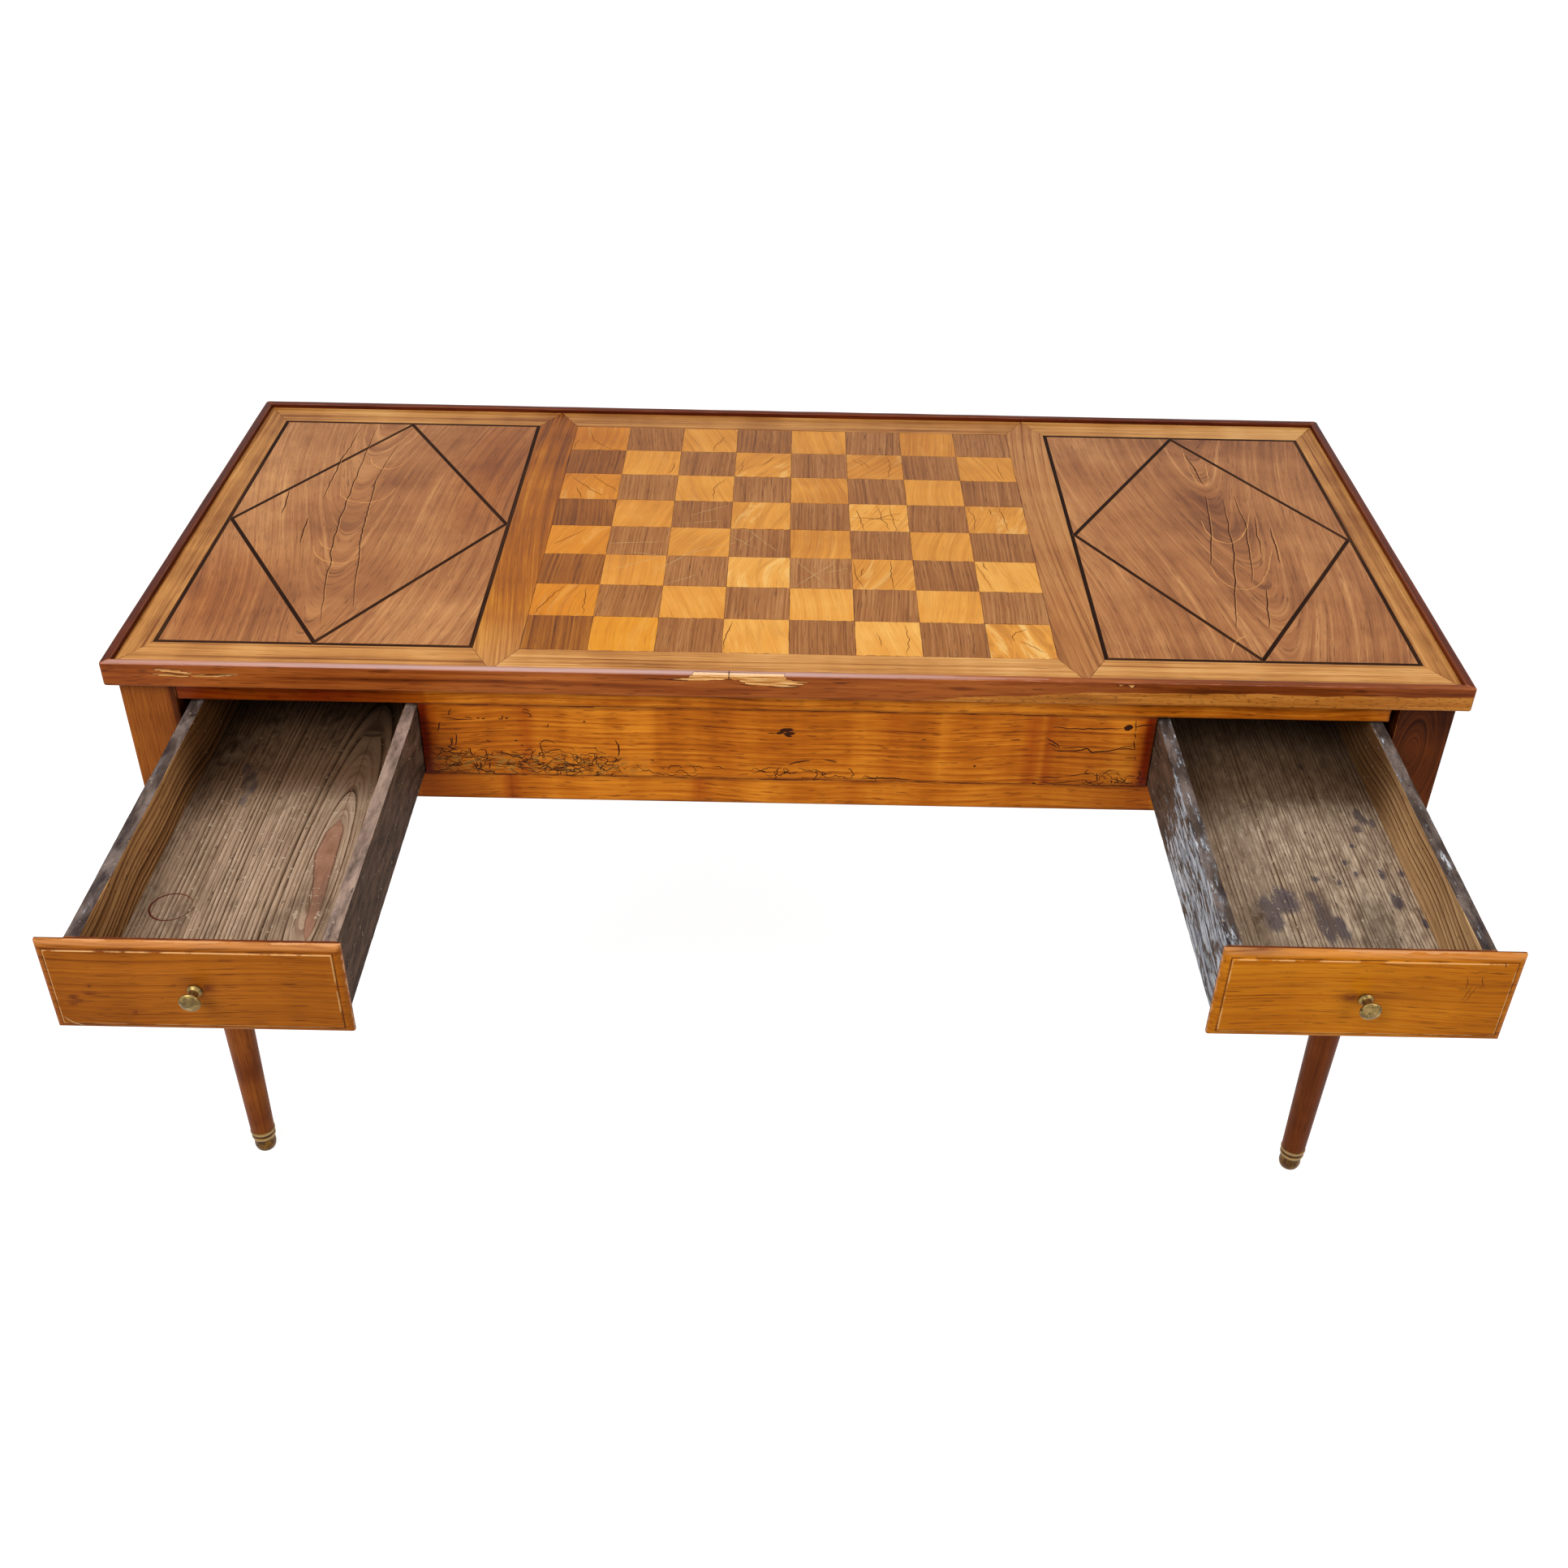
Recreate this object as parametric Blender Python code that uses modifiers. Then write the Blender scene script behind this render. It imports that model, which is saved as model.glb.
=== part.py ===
"""Tric-trac table with a reversible lift-off top and a drawer at each end of its front.

The case is four legs, three aprons and three front members round a playing well, which two
partitions close off from the drawers. The top is a tray: a core with marquetry above and
baize below, inside a mitred rim whose lower lip drops over the case. Both drawers are
modelled pulled out. Lengths are in metres, +X is the player's right, -Y the front and +Z up.
"""
import math

import bmesh
import bpy
from mathutils import Matrix, Vector

MM = 0.001

# Fits
JOINT_GAP = 0.3 * MM          # left between two pieces that touch
WELD_DISTANCE = 0.01 * MM     # vertices closer than this are one
LID_CLEARANCE = 1.0 * MM      # between the rim's lower lip and the case
DRAWER_PLAY = 1.0 * MM        # between a drawer box and the partition beside it
DRAWER_SLACK = 10.5 * MM      # between a drawer box and the post on its other side
DRAWER_HEADROOM = 4.7 * MM    # above a drawer box in its opening
DRAWER_BACK_ROOM = 63.3 * MM  # behind a closed drawer
GUIDE_PLAY = 1.5 * MM         # between a drawer box and its outer guide
CUTTER_OVERRUN = 5.0 * MM     # how far a cutter passes the face that it opens
UNION_OVERLAP = 0.5 * MM      # how far a joined shape starts inside its neighbour

# Top
SURFACE_HEIGHT = 705.0 * MM   # marquetry above the floor
RIM_WIDTH = 9.0 * MM
RIM_PROUD = 5.0 * MM          # rim above the marquetry
RIM_LIP = 4.9 * MM            # rim below the baize
RIM_ROUND = 2.0 * MM
CORE_THICKNESS = 12.0 * MM
VENEER_THICKNESS = 2.5 * MM
BAIZE_THICKNESS = 1.0 * MM

# Marquetry
SQUARE = 66.0 * MM
SQUARES_PER_SIDE = 8
DIVIDER_WIDTH = 46.0 * MM     # band between the chessboard and a lozenge field
FIELD_WIDTH = 312.4 * MM      # lozenge field with its frame of stringing
BORDER_WIDTH = 40.0 * MM      # bands along the front and the back
END_BAND_WIDTH = 27.6 * MM
STRING_WIDTH = 3.6 * MM
STRING_DEPTH = 1.3 * MM       # groove that holds the lozenge's stringing
LOZENGE_INSET = 1.2 * MM      # lozenge points to the frame's stringing

# Case
POST_SIDE = 54.0 * MM
POST_ROUND = 1.5 * MM
REVEAL = 1.0 * MM             # aprons and rails behind the posts' faces
APRON_THICKNESS = 22.0 * MM
TOP_RAIL_HEIGHT = 25.0 * MM
OPENING_HEIGHT = 83.0 * MM
OPENING_WIDTH = 233.5 * MM    # from a partition to its post
LOWER_RAIL_HEIGHT = 30.0 * MM
RAIL_SHORTFALL = 8.0 * MM     # top rail's worn right end, short of its post
TENON_THICKNESS = 8.0 * MM
TENON_LENGTH = 20.0 * MM
TENON_SHOULDER = 14.0 * MM    # tenon below and above the apron's edges
RAIL_SHOULDER = 6.0 * MM

# Well and drawer bearings
PARTITION_THICKNESS = 18.0 * MM
PARTITION_RISE = 12.0 * MM    # partition's foot above the apron's lower edge
WELL_DEPTH = 92.0 * MM
WELL_FLOOR_THICKNESS = 10.0 * MM
WELL_GROOVE = 5.0 * MM
BAR_THICKNESS = 20.0 * MM
BAR_DROP = 4.0 * MM           # bar below the case's top edge
RUNNER_WIDTH = 22.0 * MM
RUNNER_HEIGHT = 18.0 * MM
TRAY_THICKNESS = 8.0 * MM

# Legs and feet
SHAFT_TOP_RADIUS = 21.5 * MM
SHAFT_FOOT_RADIUS = 13.9 * MM
NECK_RADIUS = 20.0 * MM
NECK_HEIGHT = 6.0 * MM
COLLAR_RADIUS = 23.2 * MM
COLLAR_HEIGHT = 8.0 * MM
POST_EMBED = 6.0 * MM         # turned part that runs up inside the post
SABOT_WALL = 1.7 * MM         # brass round the spigot at the toe's neck
SABOT_HEIGHT = 34.0 * MM
SABOT_FLOOR = 10.0 * MM       # solid metal below the spigot
UPPER_RING_RADIUS = 14.6 * MM
LOWER_RING_RADIUS = 14.0 * MM
RING_GROOVE_RADIUS = 12.9 * MM
RING_HEIGHT = 6.0 * MM
RING_GROOVE_HEIGHT = 2.0 * MM
TOE_RADIUS = 12.6 * MM
TOE_NECK_RADIUS = 11.6 * MM
TOE_BASE_RADIUS = 7.5 * MM

# Drawers
LEFT_PULLED = 358.0 * MM      # as photographed
RIGHT_PULLED = 342.0 * MM
SIDE_THICKNESS = 13.0 * MM
BOX_BACK_DROP = 3.0 * MM
BOTTOM_THICKNESS = 8.0 * MM
BOTTOM_RISE = 12.0 * MM       # underside of the bottom above the sides' lower edge
BOTTOM_GROOVE = 5.0 * MM
FRONT_OVERLAP_X = 6.2 * MM
FRONT_OVERLAP_Z = 5.5 * MM
FRONT_BLOCK = 13.0 * MM       # part of the front that enters the opening
LIP_THICKNESS = 7.0 * MM
LIP_ROUND = 5.5 * MM
FIELD_STEP = 1.2 * MM         # flat field proud of its rounded border
FIELD_MARGIN = 7.0 * MM
EDGE_EASE = 0.7 * MM

# Knobs
KNOB_RADIUS = 8.5 * MM
KNOB_PROJECTION = 17.0 * MM
KNOB_DISC = 2.6 * MM
KNOB_CROWN = 0.6 * MM
KNOB_STEM_RADIUS = 3.6 * MM
KNOB_COLLAR_RADIUS = 6.0 * MM
KNOB_COLLAR_HEIGHT = 2.4 * MM
KNOB_FLARE = 4.0 * MM
KNOB_SHANK_RADIUS = 2.5 * MM
KNOB_SHANK_LENGTH = 13.0 * MM
KNOB_HOLE_CLEARANCE = 0.4 * MM

# Fineness of round work
LEG_STEPS = 28
KNOB_STEPS = 24
ROUND_SEGMENTS = 3
ARC_POINTS = 5

# Colours: base colour, roughness, metallic
FINISHES = {
    "border_cherry": ((0.42, 0.20, 0.065), 0.35, 0.0),
    "field_cherry": ((0.33, 0.13, 0.045), 0.32, 0.0),
    "rim_mahogany": ((0.24, 0.075, 0.028), 0.35, 0.0),
    "case_cherry": ((0.40, 0.17, 0.05), 0.38, 0.0),
    "leg_mahogany": ((0.20, 0.065, 0.026), 0.42, 0.0),
    "light_square": ((0.66, 0.38, 0.12), 0.34, 0.0),
    "dark_square": ((0.22, 0.10, 0.045), 0.36, 0.0),
    "ebony": ((0.018, 0.012, 0.009), 0.35, 0.0),
    "pine": ((0.24, 0.17, 0.10), 0.80, 0.0),
    "drawer_front": ((0.52, 0.25, 0.06), 0.36, 0.0),
    "aged_brass": ((0.36, 0.28, 0.12), 0.38, 1.0),
    "green_baize": ((0.03, 0.13, 0.06), 0.95, 0.0),
}

# Places worked out from the sizes above
HALF_GAP = JOINT_GAP / 2
BOARD_HALF = SQUARE * SQUARES_PER_SIDE / 2
INNER_X = BOARD_HALF + DIVIDER_WIDTH + FIELD_WIDTH + END_BAND_WIDTH
INNER_Y = BOARD_HALF + BORDER_WIDTH
TOP_LENGTH = 2 * (INNER_X + RIM_WIDTH)
TOP_WIDTH = 2 * (INNER_Y + RIM_WIDTH)
CORE_TOP = SURFACE_HEIGHT - VENEER_THICKNESS - JOINT_GAP
CORE_BOTTOM = CORE_TOP - CORE_THICKNESS
BAIZE_TOP = CORE_BOTTOM - JOINT_GAP
BAIZE_BOTTOM = BAIZE_TOP - BAIZE_THICKNESS
RIM_TOP = SURFACE_HEIGHT + RIM_PROUD
RIM_BOTTOM = BAIZE_BOTTOM - RIM_LIP
CASE_TOP = BAIZE_BOTTOM - JOINT_GAP
CASE_X = INNER_X - LID_CLEARANCE
CASE_Y = INNER_Y - LID_CLEARANCE
POST_X = CASE_X - POST_SIDE
POST_Y = CASE_Y - POST_SIDE
OPENING_TOP = CASE_TOP - TOP_RAIL_HEIGHT
OPENING_BOTTOM = OPENING_TOP - OPENING_HEIGHT
APRON_BOTTOM = OPENING_BOTTOM - LOWER_RAIL_HEIGHT
APRON_OUT_X = CASE_X - REVEAL
APRON_OUT_Y = CASE_Y - REVEAL
APRON_IN_X = APRON_OUT_X - APRON_THICKNESS
APRON_IN_Y = APRON_OUT_Y - APRON_THICKNESS
WELL_FLOOR_TOP = CASE_TOP - WELL_DEPTH
OPENING_INNER = POST_X - OPENING_WIDTH
OPENING_CENTRE = (OPENING_INNER + POST_X) / 2
BOX_WIDTH = OPENING_WIDTH - DRAWER_PLAY - DRAWER_SLACK
BOX_HEIGHT = OPENING_HEIGHT - JOINT_GAP - DRAWER_HEADROOM
BOX_LENGTH = CASE_Y + JOINT_GAP + APRON_IN_Y - DRAWER_BACK_ROOM
BOX_CENTRE = OPENING_INNER + DRAWER_PLAY + BOX_WIDTH / 2
SPIGOT_RADIUS = TOE_NECK_RADIUS - SABOT_WALL - JOINT_GAP
FRONT_REACH = CASE_Y + JOINT_GAP + max(LEFT_PULLED, RIGHT_PULLED) + LIP_THICKNESS + FIELD_STEP
TABLE_Y = (FRONT_REACH + KNOB_PROJECTION - TOP_WIDTH / 2) / 2


# Scene, materials and placing
def start_scene():
    """Empties the file and makes the two collections."""
    for old in list(bpy.data.objects):
        bpy.data.objects.remove(old)
    for name in ("tric_trac_table", "cutters"):
        bpy.context.scene.collection.children.link(bpy.data.collections.new(name))


def finish(name, kind):
    """One Principled material for one piece, in one of the table's finishes."""
    colour, roughness, metallic = FINISHES[kind]
    material = bpy.data.materials.new(name)
    material.use_nodes = True
    shader = material.node_tree.nodes["Principled BSDF"]
    shader.inputs["Base Color"].default_value = (*colour, 1.0)
    shader.inputs["Roughness"].default_value = roughness
    shader.inputs["Metallic"].default_value = metallic
    material.diffuse_color = (*colour, 1.0)
    return material


def frame_empty(name, place, parent=None):
    """An empty that carries the pieces of one moving body."""
    empty = bpy.data.objects.new(name, None)
    empty.location = place
    empty.parent = parent
    bpy.data.collections["tric_trac_table"].objects.link(empty)
    return empty


def add_piece(name, mesh, kind, parent, place=(0, 0, 0)):
    """Puts a finished mesh into the table's collection with a material of its own."""
    piece = bpy.data.objects.new(name, mesh)
    piece.location = place
    piece.parent = parent
    piece.data.materials.append(finish(name, kind))
    bpy.data.collections["tric_trac_table"].objects.link(piece)
    return piece


def add_cutter(name, mesh, parent, place=(0, 0, 0)):
    """A helper solid that is hidden from renders and drawn as wire."""
    cutter = bpy.data.objects.new(name, mesh)
    cutter.location = place
    cutter.parent = parent
    cutter.hide_render = True
    cutter.display_type = "WIRE"
    bpy.data.collections["cutters"].objects.link(cutter)
    return cutter


def boolean(piece, tool, operation):
    """Adds an exact Boolean of one helper solid."""
    step = piece.modifiers.new(operation.lower(), "BOOLEAN")
    step.operation = operation
    step.solver = "EXACT"
    step.object = tool


def bevel(piece, width, segments=1):
    """Eases every edge of a piece that is sharper than 30 degrees."""
    step = piece.modifiers.new("eased_edges", "BEVEL")
    step.width = width
    step.segments = segments
    step.limit_method = "ANGLE"


# Meshes
def box_mesh(name, low, high):
    """A cube scaled to two corners, with its points in place."""
    low, high = Vector(low), Vector(high)
    size = high - low
    mesh_data = bmesh.new()
    bmesh.ops.create_cube(mesh_data, size=1)
    bmesh.ops.scale(mesh_data, vec=size, verts=mesh_data.verts)
    bmesh.ops.translate(mesh_data, vec=(low + high) / 2, verts=mesh_data.verts)
    mesh = bpy.data.meshes.new(name)
    mesh_data.to_mesh(mesh)
    mesh_data.free()
    return mesh


def flat_mesh(name, outlines, low, high):
    """A flat board from closed outlines; an outline inside another is a hole."""
    curve = bpy.data.curves.new(name, "CURVE")
    curve.dimensions = "2D"
    curve.fill_mode = "BOTH"
    curve.extrude = (high - low) / 2
    for outline in outlines:
        spline = curve.splines.new("POLY")
        spline.points.add(len(outline) - 1)
        for point, (x, y) in zip(spline.points, outline):
            point.co = (x, y, 0, 1)
        spline.use_cyclic_u = True
    holder = bpy.data.objects.new(name, curve)
    bpy.context.scene.collection.objects.link(holder)
    seen = holder.evaluated_get(bpy.context.evaluated_depsgraph_get())
    mesh = bpy.data.meshes.new_from_object(seen)
    bpy.data.objects.remove(holder)
    mesh_data = bmesh.new()
    mesh_data.from_mesh(mesh)
    bmesh.ops.remove_doubles(mesh_data, verts=mesh_data.verts, dist=WELD_DISTANCE)
    bmesh.ops.translate(mesh_data, vec=(0, 0, (low + high) / 2), verts=mesh_data.verts)
    bmesh.ops.recalc_face_normals(mesh_data, faces=mesh_data.faces)
    mesh_data.to_mesh(mesh)
    mesh_data.free()
    return mesh


def turned_mesh(name, profile):
    """The open outline of a turned piece, from its inner top or bottom to its foot."""
    mesh = bpy.data.meshes.new(name)
    points = [(radius, 0, height) for radius, height in profile]
    mesh.from_pydata(points, [(i, i + 1) for i in range(len(points) - 1)], [])
    return mesh


def turn(piece, steps):
    """Spins a turned outline round its own Z axis."""
    step = piece.modifiers.new("turned", "SCREW")
    step.axis = "Z"
    step.steps = steps
    step.render_steps = steps
    step.use_merge_vertices = True
    step.merge_threshold = WELD_DISTANCE
    step.use_smooth_shade = True


def inset(outline, distance):
    """Moves each side of a convex outline inwards, or outwards for a negative distance."""
    count = len(outline)
    points = [Vector(point) for point in outline]
    area = sum(points[i - 1].x * points[i].y - points[i].x * points[i - 1].y for i in range(count))
    turn_sign = math.copysign(1, area)
    lines = []
    for i in range(count):
        start, end = points[i], points[(i + 1) % count]
        along = (end - start).normalized()
        inward = Vector((-along.y, along.x)) * turn_sign
        lines.append((start + inward * distance, along))
    moved = []
    for i in range(count):
        (first, first_way), (second, second_way) = lines[i - 1], lines[i]
        cross = first_way.x * second_way.y - first_way.y * second_way.x
        offset = second - first
        reach = (offset.x * second_way.y - offset.y * second_way.x) / cross
        moved.append(first + first_way * reach)
    return moved


def rectangle(x_low, x_high, y_low, y_high):
    """Four corners, counter-clockwise."""
    return [(x_low, y_low), (x_high, y_low), (x_high, y_high), (x_low, y_high)]


def mirrored(outline, side_x, side_y):
    """An outline flipped to one of the four quarters of the table."""
    return [(x * side_x, y * side_y) for x, y in outline]


# The reversible top
def rim_profile():
    """Section of a rim strip: inward distance and height, rounded on its outer corners."""
    profile = [(RIM_WIDTH, RIM_BOTTOM), (RIM_WIDTH, RIM_TOP)]
    for centre, start in ((RIM_TOP - RIM_ROUND, math.pi / 2), (RIM_BOTTOM + RIM_ROUND, math.pi)):
        for i in range(ARC_POINTS):
            angle = start + math.pi / 2 * i / (ARC_POINTS - 1)
            inward = RIM_ROUND + RIM_ROUND * math.cos(angle)
            profile.append((inward, centre + RIM_ROUND * math.sin(angle)))
    return profile


def rim_strip(name, half_length, half_reach, quarter_turns, lid):
    """One mitred strip of the rim, turned to its side of the top."""
    back = HALF_GAP * math.sqrt(2)
    mesh = flat_mesh(name, [rim_profile()], -half_length, half_length)
    turn_matrix = Matrix.Rotation(math.pi / 2 * quarter_turns, 3, "Z")
    for vertex in mesh.vertices:
        inward, height, along = vertex.co
        along = math.copysign(half_length - inward - back, along)
        vertex.co = turn_matrix @ Vector((along, inward - half_reach, height))
    # the section, drawn in inward distance and height, is left-handed once it stands up
    mesh_data = bmesh.new()
    mesh_data.from_mesh(mesh)
    bmesh.ops.recalc_face_normals(mesh_data, faces=mesh_data.faces)
    mesh_data.to_mesh(mesh)
    mesh_data.free()
    add_piece(name, mesh, "rim_mahogany", lid)


def marquetry(name, outline, kind, lid):
    """One piece of veneer, half a joint inside its own outline."""
    mesh = flat_mesh(name, [inset(outline, HALF_GAP)], SURFACE_HEIGHT - VENEER_THICKNESS, SURFACE_HEIGHT)
    return add_piece(name, mesh, kind, lid)


def borders(lid):
    """The cross bands: mitred at the corners, with the dividers' points let in between."""
    field_low = BOARD_HALF + DIVIDER_WIDTH
    field_high = field_low + FIELD_WIDTH
    point_x = BOARD_HALF + DIVIDER_WIDTH / 2
    centre = [(-BOARD_HALF, BOARD_HALF), (BOARD_HALF, BOARD_HALF), (point_x, INNER_Y), (-point_x, INNER_Y)]
    corner = [(field_low, BOARD_HALF), (field_high, BOARD_HALF), (INNER_X, INNER_Y), (point_x, INNER_Y)]
    divider = [(BOARD_HALF, -BOARD_HALF), (point_x, -INNER_Y), (field_low, -BOARD_HALF),
               (field_low, BOARD_HALF), (point_x, INNER_Y), (BOARD_HALF, BOARD_HALF)]
    end = [(field_high, -BOARD_HALF), (INNER_X, -INNER_Y), (INNER_X, INNER_Y), (field_high, BOARD_HALF)]
    for side_y, depth_name in ((-1, "front"), (1, "back")):
        marquetry(f"border_{depth_name}_centre", mirrored(centre, 1, side_y), "border_cherry", lid)
        for side_x, end_name in ((-1, "left"), (1, "right")):
            outline = mirrored(corner, side_x, side_y)
            marquetry(f"border_{depth_name}_{end_name}", outline, "border_cherry", lid)
    for side_x, end_name in ((-1, "left"), (1, "right")):
        marquetry(f"divider_{end_name}", mirrored(divider, side_x, 1), "border_cherry", lid)
        marquetry(f"border_end_{end_name}", mirrored(end, side_x, 1), "border_cherry", lid)


def lozenge_field(side_x, end_name, lid):
    """A veneered field with its frame of stringing and its lozenge let into a groove."""
    bottom = SURFACE_HEIGHT - VENEER_THICKNESS
    start_x = BOARD_HALF + DIVIDER_WIDTH
    frame = rectangle(start_x, start_x + FIELD_WIDTH, -BOARD_HALF, BOARD_HALF)
    frame = mirrored(frame, side_x, 1)
    field = inset(frame, STRING_WIDTH)
    middle_x = (frame[0][0] + frame[1][0]) / 2
    reach_x = abs(field[1].x - field[0].x) / 2 - LOZENGE_INSET
    reach_y = field[2].y - LOZENGE_INSET
    lozenge = [(middle_x - reach_x, 0), (middle_x, -reach_y), (middle_x + reach_x, 0), (middle_x, reach_y)]
    inner = inset(lozenge, STRING_WIDTH)
    ring = [inset(frame, HALF_GAP), inset(field, -HALF_GAP)]
    mesh = flat_mesh(f"stringing_frame_{end_name}", ring, bottom, SURFACE_HEIGHT)
    add_piece(f"stringing_frame_{end_name}", mesh, "ebony", lid)
    panel = marquetry(f"lozenge_field_{end_name}", field, "field_cherry", lid)
    groove_ring = [inset(lozenge, -HALF_GAP), inset(inner, HALF_GAP)]
    groove_floor = SURFACE_HEIGHT - STRING_DEPTH - JOINT_GAP
    groove_mouth = SURFACE_HEIGHT + CUTTER_OVERRUN
    groove = flat_mesh("lozenge_groove", groove_ring, groove_floor, groove_mouth)
    boolean(panel, add_cutter(f"lozenge_groove_{end_name}", groove, lid), "DIFFERENCE")
    string_ring = [inset(lozenge, HALF_GAP), inset(inner, -HALF_GAP)]
    string_bottom = SURFACE_HEIGHT - STRING_DEPTH
    mesh = flat_mesh(f"lozenge_stringing_{end_name}", string_ring, string_bottom, SURFACE_HEIGHT)
    add_piece(f"lozenge_stringing_{end_name}", mesh, "ebony", lid)


def chessboard(lid):
    """The chequered sheet: one grid of squares, light at the player's right-hand corner."""
    half = BOARD_HALF - HALF_GAP
    mesh_data = bmesh.new()
    bmesh.ops.create_grid(mesh_data, x_segments=SQUARES_PER_SIDE, y_segments=SQUARES_PER_SIDE, size=half)
    for face in mesh_data.faces:
        middle = face.calc_center_median()
        column = int((middle.x + half) // SQUARE)
        row = int((middle.y + half) // SQUARE)
        face.material_index = (column + row + 1) % 2
    top_faces = list(mesh_data.faces)
    extruded = bmesh.ops.extrude_face_region(mesh_data, geom=top_faces, use_keep_orig=True)
    raised = [item for item in extruded["geom"] if isinstance(item, bmesh.types.BMVert)]
    bmesh.ops.translate(mesh_data, vec=(0, 0, VENEER_THICKNESS), verts=raised)
    bmesh.ops.translate(mesh_data, vec=(0, 0, SURFACE_HEIGHT - VENEER_THICKNESS), verts=mesh_data.verts)
    bmesh.ops.recalc_face_normals(mesh_data, faces=mesh_data.faces)
    mesh = bpy.data.meshes.new("chessboard")
    mesh_data.to_mesh(mesh)
    mesh_data.free()
    board = add_piece("chessboard", mesh, "light_square", lid)
    board.data.materials.append(finish("chessboard_dark", "dark_square"))


def top(table):
    """Rim, core, baize and marquetry on one empty."""
    lid = frame_empty("top_frame", (0, 0, 0), table)
    rim_strip("rim_front", TOP_LENGTH / 2, TOP_WIDTH / 2, 0, lid)
    rim_strip("rim_right", TOP_WIDTH / 2, TOP_LENGTH / 2, 1, lid)
    rim_strip("rim_back", TOP_LENGTH / 2, TOP_WIDTH / 2, 2, lid)
    rim_strip("rim_left", TOP_WIDTH / 2, TOP_LENGTH / 2, 3, lid)
    core_x, core_y = INNER_X - JOINT_GAP, INNER_Y - JOINT_GAP
    mesh = box_mesh("top_core", (-core_x, -core_y, CORE_BOTTOM), (core_x, core_y, CORE_TOP))
    add_piece("top_core", mesh, "pine", lid)
    mesh = box_mesh("baize_underside", (-core_x, -core_y, BAIZE_BOTTOM), (core_x, core_y, BAIZE_TOP))
    add_piece("baize_underside", mesh, "green_baize", lid)
    borders(lid)
    for side_x, end_name in ((-1, "left"), (1, "right")):
        lozenge_field(side_x, end_name, lid)
    chessboard(lid)


# Legs and feet
def leg_profile():
    """Turned part of a leg: up inside the post, collar, tapered shaft, spigot."""
    collar_top = APRON_BOTTOM - NECK_HEIGHT
    collar_bottom = collar_top - COLLAR_HEIGHT
    shoulder = SABOT_HEIGHT + JOINT_GAP
    head = APRON_BOTTOM + POST_EMBED
    profile = [(0, head), (NECK_RADIUS, head), (NECK_RADIUS, collar_top)]
    for i in range(ARC_POINTS):
        share = i / (ARC_POINTS - 1)
        swell = math.sin(math.pi * share)
        radius = SHAFT_TOP_RADIUS + (COLLAR_RADIUS - SHAFT_TOP_RADIUS) * swell
        profile.append((radius, collar_top - COLLAR_HEIGHT * share))
    profile.append((SHAFT_TOP_RADIUS - (COLLAR_RADIUS - SHAFT_TOP_RADIUS), collar_bottom - NECK_HEIGHT / 2))
    profile.append((SHAFT_TOP_RADIUS, collar_bottom - NECK_HEIGHT))
    profile.append((SHAFT_FOOT_RADIUS, shoulder))
    profile.append((SPIGOT_RADIUS, shoulder))
    profile.append((SPIGOT_RADIUS, SABOT_FLOOR + JOINT_GAP))
    profile.append((0, SABOT_FLOOR + JOINT_GAP))
    return profile


def sabot_profile():
    """Brass foot: a cup for the spigot, two rings and a rounded toe with a flat base."""
    bore = SPIGOT_RADIUS + JOINT_GAP
    lower_ring_top = SABOT_HEIGHT - RING_HEIGHT - RING_GROOVE_HEIGHT
    toe_top = lower_ring_top - RING_HEIGHT
    profile = [(0, SABOT_FLOOR), (bore, SABOT_FLOOR), (bore, SABOT_HEIGHT)]
    for top_height, radius in ((SABOT_HEIGHT, UPPER_RING_RADIUS), (lower_ring_top, LOWER_RING_RADIUS)):
        for i in range(ARC_POINTS):
            share = i / (ARC_POINTS - 1)
            swell = math.sin(math.pi * share)
            ring = RING_GROOVE_RADIUS + (radius - RING_GROOVE_RADIUS) * swell
            profile.append((ring, top_height - RING_HEIGHT * share))
    profile.append((TOE_NECK_RADIUS, toe_top))
    for i in range(ARC_POINTS + 1):
        angle = math.pi / 2 * i / ARC_POINTS
        radius = TOE_BASE_RADIUS + (TOE_RADIUS - TOE_BASE_RADIUS) * math.cos(angle)
        profile.append((radius, toe_top / 2 * (1 - math.sin(angle))))
    profile.append((0, 0))
    return profile


def mortise(leg, name, low, high, table):
    """Cuts one mortise, a joint wider than its tenon on the sides that it meets."""
    boolean(leg, add_cutter(name, box_mesh(name, low, high), table), "DIFFERENCE")


def side_mortise(leg, name, side_x, side_y, table):
    """The mortise for a side apron, open on the post's inner Y face."""
    middle = APRON_OUT_X - APRON_THICKNESS / 2
    half = TENON_THICKNESS / 2 + JOINT_GAP
    ends_x = sorted((side_x * (middle - half), side_x * (middle + half)))
    ends_y = sorted((side_y * (POST_Y - CUTTER_OVERRUN), side_y * (POST_Y + TENON_LENGTH + JOINT_GAP)))
    low = (ends_x[0], ends_y[0], APRON_BOTTOM + TENON_SHOULDER - JOINT_GAP)
    high = (ends_x[1], ends_y[1], CASE_TOP - TENON_SHOULDER + JOINT_GAP)
    mortise(leg, f"{name}_side_mortise", low, high, table)


def long_mortise(leg, name, side_x, side_y, bottom, rise, table):
    """The mortise for the back apron or the front's lower rail, open on the inner X face."""
    middle = APRON_OUT_Y - APRON_THICKNESS / 2
    half = TENON_THICKNESS / 2 + JOINT_GAP
    ends_y = sorted((side_y * (middle - half), side_y * (middle + half)))
    ends_x = sorted((side_x * (POST_X - CUTTER_OVERRUN), side_x * (POST_X + TENON_LENGTH + JOINT_GAP)))
    low = (ends_x[0], ends_y[0], bottom - JOINT_GAP)
    high = (ends_x[1], ends_y[1], bottom + rise + JOINT_GAP)
    mortise(leg, f"{name}_long_mortise", low, high, table)


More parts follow.
